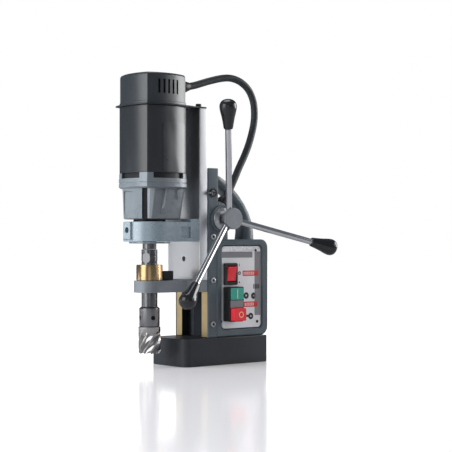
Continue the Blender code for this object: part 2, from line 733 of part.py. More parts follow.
def motor():
    z0, z1 = MOTOR_Z
    shell = prism("motor_housing", motor_outline(0), z0, z1, "motor_plastic")
    cut(shell, prism("motor_bore", motor_outline(-WALL), z0 - 5, z1 + 5, None, cutter=True))
    z0, z1 = STATOR_Z
    ring = [(22.6, z0), (35.2, z0), (35.2, z1), (22.6, z1)]
    lathe("stator", ring, "steel", (0, ROTOR_Y, 0), steps=28)
    for name, sign in (("brush_left", -1), ("brush_right", 1)):
        xs = sorted((sign * 12.8, sign * 34.5))
        block(name, xs, (ROTOR_Y - 5, ROTOR_Y + 5), (356, 368), "brass", 0.8, axis="X")


def motor_cap():
    """The hollow cap over the motor, with air slots through both sides and a hole for the conduit's gland."""
    z0, z1 = CAP_Z
    rings = [
        (z0, motor_outline(0)), (z0 + 3, motor_outline(0)), (z0 + 3.8, motor_outline(-0.8)),
        (z1 - 5, motor_outline(-0.8)), (z1 - 1.4, motor_outline(-2.0)), (z1, motor_outline(-5.0)),
    ]
    cap = loft("motor_cap", rings, "motor_plastic")
    rings = [(z0 - 5, motor_outline(-4)), (z1 - 4, motor_outline(-4))]
    cut(cap, loft("cap_hollow", rings, None, cutter=True))
    for k in range(VENTS):
        y = MOTOR_Y + VENT_PITCH * k - VENT_FIRST
        span = (y - VENT_WIDTH / 2, y + VENT_WIDTH / 2)
        cut(cap, block(f"vent_{k}", (-60, 60), span, VENT_Z, None, cutter=True))
    way = MOTOR_GLAND_AXIS
    cut(cap, rod("gland_hole", 6.3, -10, 6, None, MOTOR_GLAND, way, steps=24, cutter=True))
    gland = [(3.0, -4), (6.0, -4), (6.0, 0.3), (9.4, 0.3), (9.4, 2.6), (7.0, 9.6), (6.2, 12.6), (3.0, 12.6)]
    lathe("motor_gland", gland, "black_plastic", MOTOR_GLAND, way, steps=24)


def top_plate():
    z0, z1 = TOP_PLATE_Z
    front = [(u, v) for u, v in motor_outline(5.2) if v < MOTOR_Y + 25]
    left = sorted((p for p in front if p[0] < 0), key=lambda p: -p[1])
    right = sorted((p for p in front if p[0] >= 0), key=lambda p: p[1])
    edge = COLUMN_FRONT - 2.2
    outline = left + right + [(SLIDE_X, -58), (SLIDE_X, edge), (-SLIDE_X, edge), (-SLIDE_X, -58)]
    plate = prism("top_plate", outline, z0, z1, "steel")
    cut(plate, prism("plate_window", motor_outline(-9), z0 - 5, z1 + 5, None, cutter=True))
    for name, x in (("plate_bolt_left", -PLATE_BOLT[0]), ("plate_bolt_right", PLATE_BOLT[0])):
        at = (x, PLATE_BOLT[1], 0)
        cut(plate, rod(name + "_hole", 2.8, z0 - 5, z1 + 5, None, at, steps=16, cutter=True))
        profile = [
            (0, z0 - 9), (2.1, z0 - 9), (2.1, z1 + GAP), (4.2, z1 + GAP), (4.2, z1 + 4.8), (3.8, z1 + 5.2),
            (2.0, z1 + 5.2), (2.0, z1 + 2.4), (0, z1 + 2.4),
        ]
        lathe(name, profile, "black_plastic", at, steps=20)


def smooth_path(points, steps):
    """Catmull-Rom points through the path."""
    pts = [Vector(p) for p in points]
    pts = [pts[0] * 2 - pts[1]] + pts + [pts[-1] * 2 - pts[-2]]
    out = []
    for k in range(1, len(pts) - 2):
        a, b, c, d = pts[k - 1 : k + 3]
        for n in range(steps):
            t = n / steps
            square = (2 * a - 5 * b + 4 * c - d) * t * t
            cube = (3 * b - a - 3 * c + d) * t**3
            out.append(0.5 * (2 * b + (c - a) * t + square + cube))
    out.append(pts[-2])
    return out


def conduit():
    up = (GLAND_TOP - GLAND_FOOT).normalized()
    start = MOTOR_GLAND + MOTOR_GLAND_AXIS * 13.2
    path = [start] + [Vector(p) for p in CONDUIT_PATH] + [GLAND_TOP + up * 0.6]
    points = smooth_path(path, 3)
    curve = bpy.data.curves.new("conduit", "CURVE")
    curve.dimensions = "3D"
    spline = curve.splines.new("POLY")
    spline.points.add(len(points) - 1)
    for point, at in zip(spline.points, points):
        point.co = (*(at * MM), 1.0)
    curve.bevel_depth = CONDUIT_R * MM
    curve.bevel_resolution = 2
    curve.use_fill_caps = True
    obj = bpy.data.objects.new("conduit", curve)
    curve.materials.append(MATS["rubber"])
    NODES.objects.link(obj)


# -------------------------------------------------------------- turning parts


def spindle():
    at = (0, SPINDLE_Y, 0)
    rod("spindle_shaft", 10.2, ARBOR_TOP + GAP, 247, "steel", at, edge=0.6)
    gear = prism("spindle_gear", toothed(26, 18.7, 16.7, (0, SPINDLE_Y)), 232, 243, "steel", origin=at)
    cut(gear, rod("spindle_gear_bore", 10.5, 220, 260, None, at, cutter=True))
    arbor(at)
    annular_cutter(at)
    rod("pilot_pin", 3.0, 20.8, 72.0, "steel", at, edge=1.2, steps=20)


def around_spindle(degrees):
    a = math.radians(degrees)
    return math.cos(a), math.sin(a), 0


def arbor(at):
    """The arbor with two key flats near its top, the cutter holder below and two grub screws in it."""
    z0, z1 = HOLDER_Z
    socket = 9.8
    profile = [
        (0, 86.5), (socket, 86.5), (socket, z0), (14.4, z0), (HOLDER_R, z0 + 0.7), (HOLDER_R, z1 - 2.4),
        (12.6, z1), (ARBOR_R, z1), (ARBOR_R, ARBOR_TOP - 1), (ARBOR_R - 1, ARBOR_TOP), (0, ARBOR_TOP),
    ]
    body = lathe("arbor", profile, "steel", at)
    for k, degrees in enumerate((-65, 115)):
        side = around_spindle(degrees)
        cut(body, rod(f"flat_{k}", 14, 9.2, 30, None, (0, SPINDLE_Y, 165), side, cutter=True))
    centre = (0, SPINDLE_Y, 73)
    screw = [(0, 10.2), (3.0, 10.2), (3.0, 13.6), (1.5, 13.6), (1.5, 11.8), (0, 11.8)]
    for k, degrees in enumerate((-15, -105)):
        side = around_spindle(degrees)
        cut(body, rod(f"grub_hole_{k}", 3.3, 6, 20, None, centre, side, steps=18, cutter=True))
        lathe(f"arbor_screw_{k + 1}", screw, "black_plastic", centre, side, at, steps=18)


def annular_cutter(at):
    """A hollow cutter with right-hand helical flutes, a plain neck and a shank that fills the holder."""
    z0, z1 = CUTTER_Z
    top = z1 - 7
    layers = 9
    rings = []
    for n in range(layers):
        height = (top - z0) * n / (layers - 1)
        rings.append((z0 + height, fluted(FLUTE_TWIST * height, FLUTE_R)))
    neck = fluted(FLUTE_TWIST * (top - z0), CUTTER_R)
    rings += [(top + 1.0, neck), (z1 - 0.8, neck)]
    rings.append((z1, fluted(FLUTE_TWIST * (top - z0), CUTTER_R - 1.5, CUTTER_R - 1.5)))
    body = loft("annular_cutter", rings, "cutter_steel", origin=at)
    join(body, rod("cutter_shank", 9.5, z1 - 5, 84, None, at, cutter=True))
    cut(body, rod("core_bore", 12.6, z0 - 5, z1 - 8, None, at, cutter=True))
    cut(body, rod("pin_bore", 3.3, z1 - 12, 95, None, at, cutter=True, steps=20))


def fluted(turn, valley, land=CUTTER_R):
    """The cutter's section at one height: each flute's valley and the land beside it."""
    pitch = 2 * math.pi / FLUTES
    outline = []
    for k in range(FLUTES):
        for share, r in ((-0.46, valley), (-0.12, valley), (0.10, land), (0.36, land)):
            a = turn + (k + share) * pitch
            outline.append((r * math.cos(a), r * math.sin(a) + SPINDLE_Y))
    return outline


def armature():
    at = (0, ROTOR_Y, 0)
    z0, z1 = STATOR_Z
    profile = [
        (0, 254), (5.2, 254), (5.2, 270), (4.6, 271), (4.6, z0), (21.5, z0), (21.5, z1), (9, z1 + 1),
        (9, 354), (12.3, 354), (12.3, 371), (4.2, 372), (4.2, 420), (0, 420),
    ]
    lathe("armature", profile, "steel", at, steps=28)
    fan = prism("motor_fan", toothed(14, 29, 13, (0, ROTOR_Y)), 288, 297, "black_plastic", origin=at)
    cut(fan, rod("fan_bore", 4.9, 270, 310, None, at, steps=24, cutter=True))
    at = (0, LAY_Y, 0)
    gear = prism("layshaft", toothed(25, 14.5, 13.0, (0, LAY_Y)), 256, 267, "steel", origin=at)
    pinion = prism("lay_pinion", toothed(8, 5.8, 4.2, (0, LAY_Y)), 230, 258, None, origin=at, cutter=True)
    join(gear, pinion, rod("lay_pin", 3.5, 226, 273, None, at, steps=20, cutter=True))


def spoke_direction(k):
    a = SPOKE_START + k * 2 * math.pi / 3
    reach = math.cos(SPOKE_LEAN)
    return Vector((math.sin(SPOKE_LEAN), reach * math.sin(a), reach * math.cos(a)))


def capstan():
    at = (0, FEED_Y, FEED_Z)
    shaft = rod("feed_shaft", FEED_R, -41.5, 66.0, "chrome", at, (1, 0, 0), edge=0.5)
    turn = math.pi + math.pi / PINION_TEETH
    teeth = toothed(PINION_TEETH, PINION_TIP, PINION_TIP - 3.0, (FEED_Y, FEED_Z), turn)
    join(shaft, prism("pinion", teeth, -9, 9, None, "X", cutter=True))
    profile = [
        (0, 66.4), (FEED_R + GAP, 66.4), (FEED_R + GAP, 56.4), (8.6, 56.4), (9.4, 58.5), (15.9, 65.2),
        (15.9, 70.2), (15.2, HUB_FACE_X), (0, HUB_FACE_X),
    ]
    hub = lathe("capstan_hub", profile, "aluminium", at, (1, 0, 0), steps=32)
    root = Vector((HUB_ROOT_X, FEED_Y, FEED_Z))
    for k in range(3):
        way = spoke_direction(k)
        cut(hub, rod(f"spoke_hole_{k}", SPOKE_R + GAP, 8.2, 40, None, root, way, steps=24, cutter=True))
        end = SPOKE_LENGTH - KNOB_LENGTH + 20
        rod(f"spoke_{k + 1}", SPOKE_R, 8.8, end, "chrome", root, way, at, steps=24)
        knob(k, root, way, at)


def knob(k, root, way, at):
    start = SPOKE_LENGTH - KNOB_LENGTH
    bore = SPOKE_R + GAP
    shape = (
        (0.0, 6.6), (0.6, 7.2), (8.0, 8.2), (18.0, 9.9), (27.0, 11.8), (33.0, 12.7), (37.5, 12.3),
        (40.8, 10.2), (43.0, 6.2),
    )
    profile = [(0, start + 20.4), (bore, start + 20.4), (bore, start)]
    profile += [(r, start + s) for s, r in shape]
    profile += [(0, SPOKE_LENGTH)]
    lathe(f"knob_{k + 1}", profile, "knob_plastic", root, way, at, steps=22)


def build():
    magnet_foot()
    frame()
    gibs_and_screws()
    feed_bushes()
    glands()
    controls()
    electronics()
    slide()
    rack()
    bracket()
    bearings()
    support()
    gear_housing()
    motor()
    motor_cap()
    top_plate()
    conduit()
    spindle()
    armature()
    capstan()


build()
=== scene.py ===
"""Looks of the magnetic drill press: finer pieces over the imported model, materials, studio, camera.

Lengths below are millimetres and MM turns them into metres.
+X is the capstan side, -Y the spindle side, +Z up.
"""

import json
import math

import bmesh
import bpy
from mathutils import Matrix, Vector

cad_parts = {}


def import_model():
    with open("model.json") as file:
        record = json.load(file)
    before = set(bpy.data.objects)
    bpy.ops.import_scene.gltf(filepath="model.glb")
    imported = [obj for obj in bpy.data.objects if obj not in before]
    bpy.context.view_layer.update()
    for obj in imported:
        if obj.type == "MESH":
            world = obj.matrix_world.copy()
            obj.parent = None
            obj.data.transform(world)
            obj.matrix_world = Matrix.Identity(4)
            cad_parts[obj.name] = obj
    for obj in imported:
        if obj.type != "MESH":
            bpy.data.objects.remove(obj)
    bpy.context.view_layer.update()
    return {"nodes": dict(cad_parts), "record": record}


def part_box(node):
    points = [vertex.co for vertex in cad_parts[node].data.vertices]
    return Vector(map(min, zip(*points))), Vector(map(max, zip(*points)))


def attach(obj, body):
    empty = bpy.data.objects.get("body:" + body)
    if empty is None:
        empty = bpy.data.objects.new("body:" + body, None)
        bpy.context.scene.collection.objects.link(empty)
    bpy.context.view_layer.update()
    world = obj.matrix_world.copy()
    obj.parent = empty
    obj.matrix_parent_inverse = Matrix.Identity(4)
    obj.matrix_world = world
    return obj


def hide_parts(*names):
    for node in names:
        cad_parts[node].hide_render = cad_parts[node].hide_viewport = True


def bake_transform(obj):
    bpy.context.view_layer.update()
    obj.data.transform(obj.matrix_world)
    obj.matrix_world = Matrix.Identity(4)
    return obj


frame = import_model()

MM = 0.001
RIGHT = (1, 0, 0)
UP = (0, 0, 1)

BODY_OF = {node: body for body, nodes in frame["record"]["behaviour"]["bodies"].items() for node in nodes}
SLOT_OF = {part["node"]: part["material_slot"] for part in frame["record"]["subparts"]}


def box(node):
    """A CAD node's lowest and highest corner in millimetres."""
    low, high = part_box(node)
    return low / MM, high / MM


# ------------------------------------------------------------------ materials


def new_node(tree, kind, **inputs):
    node = tree.nodes.new("ShaderNode" + kind)
    for name, value in inputs.items():
        socket = node.inputs[name.replace("_", " ")]
        if isinstance(value, bpy.types.NodeSocket):
            tree.links.new(value, socket)
        else:
            socket.default_value = value
    return node


def noise(tree, vector, scale, detail=3.0, rough=0.55):
    node = new_node(tree, "TexNoise", Vector=vector, Scale=scale, Detail=detail, Roughness=rough)
    return node.outputs["Fac"]


def spread(tree, value, low, high, start=0.3, end=0.7):
    node = new_node(tree, "MapRange", Value=value, From_Min=start, From_Max=end, To_Min=low, To_Max=high)
    return node.outputs["Result"]


def mix(tree, share, first, second):
    node = tree.nodes.new("ShaderNodeMix")
    node.data_type = "RGBA"
    for socket, value in ((node.inputs[0], share), (node.inputs[6], first), (node.inputs[7], second)):
        if isinstance(value, bpy.types.NodeSocket):
            tree.links.new(value, socket)
        else:
            socket.default_value = value
    return node.outputs[2]


def maths(tree, operation, first, second=0.0):
    node = tree.nodes.new("ShaderNodeMath")
    node.operation = operation
    node.use_clamp = True
    for socket, value in zip(node.inputs, (first, second)):
        if isinstance(value, bpy.types.NodeSocket):
            tree.links.new(value, socket)
        else:
            socket.default_value = value
    return node.outputs[0]


def edge_mask(tree, radius):
    """1 along convex and concave edges within `radius`, 0 on open faces."""
    soft = new_node(tree, "Bevel", Radius=radius * MM)
    soft.samples = 4
    hard = tree.nodes.new("ShaderNodeNewGeometry")
    dot = tree.nodes.new("ShaderNodeVectorMath")
    dot.operation = "DOT_PRODUCT"
    tree.links.new(soft.outputs[0], dot.inputs[0])
    tree.links.new(hard.outputs["Normal"], dot.inputs[1])
    return spread(tree, dot.outputs["Value"], 1.0, 0.0, 0.90, 0.995)


def surface(
    name, colour, metallic, roughness, mottle=(28, 0.06), grain=(900, 0.02), stretch=(1, 1, 1), wear=None,
    uneven=0.05, **sockets,
):
    """Makes a Principled material with clouded colour, uneven gloss and fine relief in the object's space.

    mottle is (scale per metre, share of colour); grain is (scale per metre, depth in mm);
    wear is the (colour, radius in mm) that shows along edges.
    """
    mat = bpy.data.materials.new(name)
    mat.use_nodes = True
    tree = mat.node_tree
    shader = tree.nodes["Principled BSDF"]
    shader.inputs["Metallic"].default_value = metallic
    for socket, value in sockets.items():
        shader.inputs[socket.replace("_", " ")].default_value = value
    space = tree.nodes.new("ShaderNodeTexCoord").outputs["Object"]
    along = new_node(tree, "Mapping", Vector=space, Scale=stretch).outputs["Vector"]
    cloud = noise(tree, space, mottle[0], 4.0)
    fine = noise(tree, along, grain[0])
    dark = [c * (1 - mottle[1]) for c in colour]
    light = [min(1.0, c * (1 + mottle[1])) for c in colour]
    tint = mix(tree, spread(tree, cloud, 0.0, 1.0), (*dark, 1), (*light, 1))
    tint = mix(tree, spread(tree, fine, 0.0, 0.5 * mottle[1]), tint, (0, 0, 0, 1))
    if wear:
        patchy = spread(tree, noise(tree, space, 160.0), 0.15, 1.0, 0.42, 0.62)
        tint = mix(tree, maths(tree, "MULTIPLY", edge_mask(tree, wear[1]), patchy), tint, (*wear[0], 1))
    tree.links.new(tint, shader.inputs["Base Color"])
    gloss = tree.nodes.new("ShaderNodeMath")
    gloss.operation = "ADD"
    tree.links.new(spread(tree, cloud, roughness - uneven, roughness + uneven), gloss.inputs[0])
    tree.links.new(spread(tree, fine, -0.4 * uneven, 0.4 * uneven), gloss.inputs[1])
    tree.links.new(gloss.outputs[0], shader.inputs["Roughness"])
    bump = new_node(tree, "Bump", Strength=1.0, Distance=grain[1] * MM, Height=fine)
    tree.links.new(bump.outputs[0], shader.inputs["Normal"])
    MATERIALS[name] = mat


GRAIN_Z = (1, 1, 0.03)
GRAIN_X = (0.03, 1, 1)
GRAIN_ROUND = (1, 1, 12)

MATERIALS = {}
surface(
    "frame_paint", (0.073, 0.098, 0.114), 0.0, 0.34, (40, 0.07), (700, 0.03),
    wear=((0.12, 0.15, 0.17), 0.6), Coat_Weight=0.25, Coat_Roughness=0.22,
)
surface(
    "base_steel", (0.022, 0.025, 0.03), 0.0, 0.42, (30, 0.12), (600, 0.035),
    wear=((0.08, 0.08, 0.085), 0.5), IOR=1.46,
)
surface(
    "motor_plastic", (0.009, 0.0125, 0.0155), 0.0, 0.32, (35, 0.08), (1800, 0.012),
    wear=((0.04, 0.045, 0.05), 0.4), uneven=0.02, IOR=1.95,
)
surface(
    "gear_alloy", (0.165, 0.195, 0.218), 0.2, 0.31, (45, 0.07), (1100, 0.03),
    wear=((0.42, 0.45, 0.48), 0.5), IOR=1.9,
)
surface(
    "bracket_paint", (0.235, 0.305, 0.352), 0.15, 0.27, (40, 0.06), (800, 0.025),
    wear=((0.3, 0.35, 0.39), 0.5), IOR=2.3,
)
surface(
    "support_paint", (0.168, 0.188, 0.208), 0.15, 0.34, (40, 0.06), (800, 0.025),
    wear=((0.32, 0.35, 0.38), 0.5), IOR=1.7,
)
surface(
    "cap_plastic", (0.016, 0.021, 0.026), 0.0, 0.34, (35, 0.08), (1800, 0.012),
    wear=((0.05, 0.055, 0.06), 0.4), uneven=0.02, IOR=1.95,
)
surface("motor_label", (0.015, 0.018, 0.022), 0.0, 0.29, (35, 0.08), (1800, 0.008), uneven=0.02, IOR=2.0)
surface("aluminium", (0.8, 0.81, 0.825), 1.0, 0.36, (14, 0.02), (3500, 0.004), GRAIN_Z, uneven=0.015)
surface("steel", (0.235, 0.24, 0.25), 1.0, 0.24, (60, 0.08), (3000, 0.006), GRAIN_ROUND)
surface("black_steel", (0.02, 0.02, 0.022), 0.4, 0.4, (120, 0.15), (1500, 0.015))
surface("chrome", (0.86, 0.86, 0.875), 1.0, 0.05, (50, 0.03), (900, 0.001), uneven=0.02)
surface("brass", (0.73, 0.51, 0.27), 1.0, 0.25, (60, 0.08), (3200, 0.006), GRAIN_ROUND)
surface("gib_brass", (0.72, 0.55, 0.3), 1.0, 0.34, (60, 0.1), (3200, 0.01), GRAIN_Z)
surface("cutter_steel", (0.6, 0.585, 0.57), 1.0, 0.19, (90, 0.1), (3500, 0.008), (1, 1, 0.2))
surface("holder_steel", (0.33, 0.33, 0.34), 1.0, 0.3, (80, 0.1), (2200, 0.02))
surface(
    "knob_plastic", (0.01, 0.011, 0.012), 0.0, 0.12, (40, 0.1), (300, 0.006), uneven=0.03, Coat_Weight=0.6,
    Coat_Roughness=0.04,
)
surface("black_plastic", (0.013, 0.014, 0.016), 0.0, 0.38, (60, 0.12), (1600, 0.015))
surface("label", (0.74, 0.74, 0.76), 0.35, 0.36, (30, 0.03), (3000, 0.004), (1, 1, 0.04))
surface("red_plastic", (0.74, 0.035, 0.048), 0.0, 0.22, (70, 0.1), (700, 0.006))
surface("green_plastic", (0.045, 0.33, 0.25), 0.0, 0.3, (70, 0.1), (700, 0.008))
surface("rubber", (0.026, 0.031, 0.034), 0.0, 0.42, (60, 0.15), (1300, 0.03))
surface("copper", (0.55, 0.22, 0.11), 1.0, 0.35, (60, 0.15), (1500, 0.03), GRAIN_X)
surface("epoxy", (0.16, 0.09, 0.04), 0.0, 0.35, (80, 0.2), (500, 0.02))
surface("circuit", (0.02, 0.13, 0.06), 0.0, 0.4, (120, 0.3), (900, 0.02))
surface("screw_steel", (0.55, 0.56, 0.58), 0.9, 0.3, (120, 0.1), (2500, 0.006))
# near-black with little reflection, on the channel's back and the gibs' inner faces: painted shade
surface("channel_painted_shade", (0.015, 0.017, 0.021), 0.0, 0.5, (60, 0.12), (1600, 0.015), IOR=1.2)
# dark metal a little paler, for the strip down the channel's black: painted highlight
surface("painted_highlight_track", (0.055, 0.06, 0.07), 0.5, 0.36, (90, 0.2), (2500, 0.008), GRAIN_Z)
surface("dark_plate", (0.03, 0.033, 0.038), 0.3, 0.34, (60, 0.1), (1500, 0.012))
surface("hub_grey", (0.235, 0.25, 0.27), 0.35, 0.5, (90, 0.1), (1500, 0.03))
surface("panel_grey", (0.2, 0.205, 0.225), 0.2, 0.42, (60, 0.05), (2500, 0.004))
surface("panel_bright", (0.88, 0.88, 0.9), 0.5, 0.28, (30, 0.03), (3000, 0.004), (1, 1, 0.04))
surface("panel_mid", (0.21, 0.21, 0.225), 0.25, 0.4, (40, 0.05), (2500, 0.004), (1, 1, 0.04))
surface("print_pink", (0.84, 0.42, 0.4), 0.0, 0.42, (90, 0.08), (1500, 0.004))
surface("print_orange", (0.9, 0.42, 0.26), 0.0, 0.42, (90, 0.08), (1500, 0.004))
surface("print_red", (0.52, 0.016, 0.022), 0.0, 0.4, (90, 0.08), (1500, 0.004))
# black for print, and for the painted shade in the gib screws' sockets
surface("black_print_and_shade", (0.012, 0.012, 0.014), 0.0, 0.42, (90, 0.1), (1500, 0.004))
surface("print_white", (0.72, 0.7, 0.68), 0.0, 0.45, (90, 0.05), (1500, 0.004))


# ------------------------------------------------------------- making a mesh


def link_mesh(name, points, faces):
    mesh = bpy.data.meshes.new(name)
    mesh.from_pydata([Vector(p) * MM for p in points], [], faces)
    bm = bmesh.new()
    bm.from_mesh(mesh)
    bmesh.ops.recalc_face_normals(bm, faces=bm.faces[:])
    bm.to_mesh(mesh)
    bm.free()
    obj = bpy.data.objects.new(name, mesh)
    bpy.context.scene.collection.objects.link(obj)
    return obj


def place(axis, u, v, h):
    if axis == "X":
        return (h, u, v)
    if axis == "Y":
        return (u, h, v)
    return (u, v, h)


def skin(count, rings, closed=False):
    """Faces over rings of `count` points: capped at both ends, or the last ring joined to the first."""
    faces = []
    for k in range(rings if closed else rings - 1):
        low = k * count
        high = ((k + 1) % rings) * count
        for i in range(count):
            j = (i + 1) % count
            faces.append((low + i, low + j, high + j, high + i))
    if not closed:
        faces.append(tuple(range(count)))
        faces.append(tuple(range((rings - 1) * count, rings * count)))
    return faces


def loft(name, rings, axis="Z"):
    """A solid through rings of (height, outline), all with the same number of points."""
    points = []
    for height, outline in rings:
        points += [place(axis, u, v, height) for u, v in outline]
    return link_mesh(name, points, skin(len(rings[0][1]), len(rings)))


def prism(name, outline, h0, h1, axis="Z"):
    return loft(name, [(h0, outline), (h1, outline)], axis)


def rounded(u0, u1, v0, v1, radius, inset=0.0, steps=8):
    u0, u1, v0, v1 = u0 + inset, u1 - inset, v0 + inset, v1 - inset
    r = max(radius - inset, 0.1)
    outline = []
    corners = ((u0 + r, v0 + r, 180), (u1 - r, v0 + r, 270), (u1 - r, v1 - r, 0), (u0 + r, v1 - r, 90))
    for cu, cv, start in corners:
        for k in range(steps + 1):
            a = math.radians(start + 90 * k / steps)
            outline.append((cu + r * math.cos(a), cv + r * math.sin(a)))
    return outline


def block(name, x, y, z, radius=0.0, axis="Z"):
    """A box between (x0, x1), (y0, y1), (z0, z1), its edges along `axis` rounded."""
    (u0, u1), (v0, v1), (h0, h1) = {"Z": (x, y, z), "X": (y, z, x), "Y": (x, z, y)}[axis]
    outline = rounded(u0, u1, v0, v1, radius) if radius else [(u0, v0), (u1, v0), (u1, v1), (u0, v1)]
    return prism(name, outline, h0, h1, axis)


def lathe(name, profile, at=(0, 0, 0), direction=UP, steps=72):
    """A solid of (radius, height) points turned about the line through `at`. Off the axis it is a ring."""
    turn = Vector(direction).normalized().to_track_quat("Z", "Y").to_matrix()
    points = []
    index = []
    for r, h in profile:
        single = r < 1e-6
        index.append([len(points)] * steps if single else list(range(len(points), len(points) + steps)))
        for k in range(1 if single else steps):
            a = 2 * math.pi * k / steps
            points.append(Vector(at) + turn @ Vector((r * math.cos(a), r * math.sin(a), h)))
    pairs = list(zip(index, index[1:]))
    if profile[0][0] > 1e-6 and profile[-1][0] > 1e-6:
        pairs.append((index[-1], index[0]))
    faces = []
    for low, high in pairs:
        for k in range(steps):
            j = (k + 1) % steps
            corners = [low[k], low[j], high[j], high[k]]
            kept = [c for n, c in enumerate(corners) if c not in corners[:n]]
            if len(kept) > 2:
                faces.append(tuple(kept))
    return link_mesh(name, points, faces)


def rod(name, r, h0, h1, at=(0, 0, 0), direction=UP, edge=0.0, steps=48):
    if edge:
        profile = [(0, h0), (r - edge, h0), (r, h0 + edge), (r, h1 - edge), (r - edge, h1), (0, h1)]
    else:
        profile = [(0, h0), (r, h0), (r, h1), (0, h1)]
    return lathe(name, profile, at, direction, steps)


def applied(obj):
    """Puts the object's modifiers into its mesh."""
    bpy.context.view_layer.update()
    graph = bpy.context.evaluated_depsgraph_get()
    mesh = bpy.data.meshes.new_from_object(obj.evaluated_get(graph), depsgraph=graph)
    old = obj.data
    obj.modifiers.clear()
    obj.data = mesh
    bpy.data.meshes.remove(old)
    return obj


def boolean(obj, others, operation):
    for other in others:
        mod = obj.modifiers.new(other.name, "BOOLEAN")
        mod.operation = operation
        mod.object = other
        mod.solver = "EXACT"
    applied(obj)
    for other in others:
        bpy.data.objects.remove(other, do_unlink=True)
    return obj


def cut(obj, *others):
    return boolean(obj, others, "DIFFERENCE")


def join(obj, *others):
    return boolean(obj, others, "UNION")


def clean(obj):
    """Merges what a Boolean or an import left double or split across flat faces."""
    bm = bmesh.new()
    bm.from_mesh(obj.data)
    bmesh.ops.remove_doubles(bm, verts=bm.verts[:], dist=0.004 * MM)
    bmesh.ops.dissolve_limit(bm, angle_limit=math.radians(0.5), verts=bm.verts[:], edges=bm.edges[:])
    bm.to_mesh(obj.data)
    bm.free()
    return obj


def soften(obj, width, segments=2, angle=30):
    """Rounds the edges sharper than `angle` and keeps the faces between them evenly shaded."""
    clean(obj)
    obj.data.shade_smooth()
    mod = obj.modifiers.new("edges", "BEVEL")
    mod.width = width * MM
    mod.segments = segments
    mod.limit_method = "ANGLE"
    mod.angle_limit = math.radians(angle)
    mod.harden_normals = True
    return applied(obj)


def smooth(obj, angle=35):
    obj.data.shade_smooth()
    obj.data.set_sharp_from_angle(angle=math.radians(angle))
    return obj


def dress(obj, mat):
    obj.data.materials.clear()
    obj.data.materials.append(MATERIALS[mat])
    return obj


def stand_for(obj, node, mat=None):
    """`obj` takes a CAD node's place: its body, its finish and its hiding."""
    dress(obj, mat or SLOT_OF[node])
    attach(obj, BODY_OF[node])
    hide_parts(node)
    return obj


def add_to(obj, body, mat):
    """`obj` is a detail that has no CAD node of its own."""
    dress(obj, mat)
    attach(obj, body)
    return obj


def refined(node, width, segments=2, mat=None, angle=30):
    """The CAD node's own shape with its edges rounded."""
    mesh = frame["nodes"][node].data.copy()
    obj = bpy.data.objects.new(node + "_surface", mesh)
    bpy.context.scene.collection.objects.link(obj)
    if mesh.attributes.get("custom_normal"):
        mesh.attributes.remove(mesh.attributes["custom_normal"])
    soften(obj, width, segments, angle)
    return stand_for(obj, node, mat)


# ----------------------------------------------------------- motor and gears

MOTOR_LOW, MOTOR_HIGH = box("motor_housing")
MOTOR_Y = (MOTOR_LOW.y + MOTOR_HIGH.y) / 2
CREASE_X = 34.7
CREASE_Y = 35.3
WALL = 3.2
LABEL_Y = (-119.5, -76.0)
LABEL_PROUD = 0.8
SKIRT_DEPTH = 8.4
CAP_BAND = 3.2
CAP_STEP = 0.8
VENTS = 5
VENT_PITCH = 8.0
VENT_FIRST = -17.5
VENT_WIDTH = 3.4
VENT_Z = (400, 420.5)
MOTOR_GLAND = Vector((14.0, MOTOR_Y + 43.6, 415.2))
MOTOR_GLAND_AXIS = Vector((0.0, 1.0, 0.12)).normalized()
MOTOR_GLAND_LENGTH = 13.2
CAP_SCREWS = [(sx * 23, MOTOR_Y + sy * 27) for sx, sy in ((-1, -1), (1, -1), (1, 1), (-1, 1))]
BULGE_X = MOTOR_HIGH.x - CREASE_X
BULGE_Y = MOTOR_HIGH.y - MOTOR_Y - CREASE_Y
SPINDLE_Y = (box("arbor")[0].y + box("arbor")[1].y) / 2

# the gear case widens upwards: half width, half depth and the middle's y at its foot and at its top
GEAR_FOOT = (29.3, 34.8, MOTOR_Y - 1.4)
GEAR_TOP = (30.5, 38.7, MOTOR_Y + 1.5)
GEAR_CHAMFER = 6.3
FOOT_EDGE = 1.4
FLANGE_Z = (263.0, 277.0)
FLANGE_PROUD = 0.9
RECESS_X = (-20, 5)
RECESS_Z = (226, 259)
RECESS_Y = -143.3
# across this x range the faces of the two front grooves are painted black as shade
GROOVE_SHADE_X = (22.6, 29.5)


def bulged(ax, ay, bx, by, centre_y=MOTOR_Y, steps=20):
    """A square with creased corners at (ax, ay), its sides bowed outwards by bx and by."""

    def side(half, sagitta):
        r = (half * half + sagitta * sagitta) / (2 * sagitta)
        end = math.asin(half / r)
        for k in range(steps):
            a = -end + 2 * end * k / steps
            yield r * math.sin(a), r * math.cos(a) - (r - sagitta)

    outline = [(t, -ay - s) for t, s in side(ax, by)]
    outline += [(ax + s, t) for t, s in side(ay, bx)]
    outline += [(-t, ay + s) for t, s in side(ax, by)]
    outline += [(-ax - s, -t) for t, s in side(ay, bx)]
    return [(u, v + centre_y) for u, v in outline]


def motor_outline(offset):
    """The motor's section, `offset` outside the housing's outer face."""
    corner = offset * 0.8
    bow = offset * 0.2
    return bulged(CREASE_X + corner, CREASE_Y + corner, BULGE_X + bow, BULGE_Y + bow)


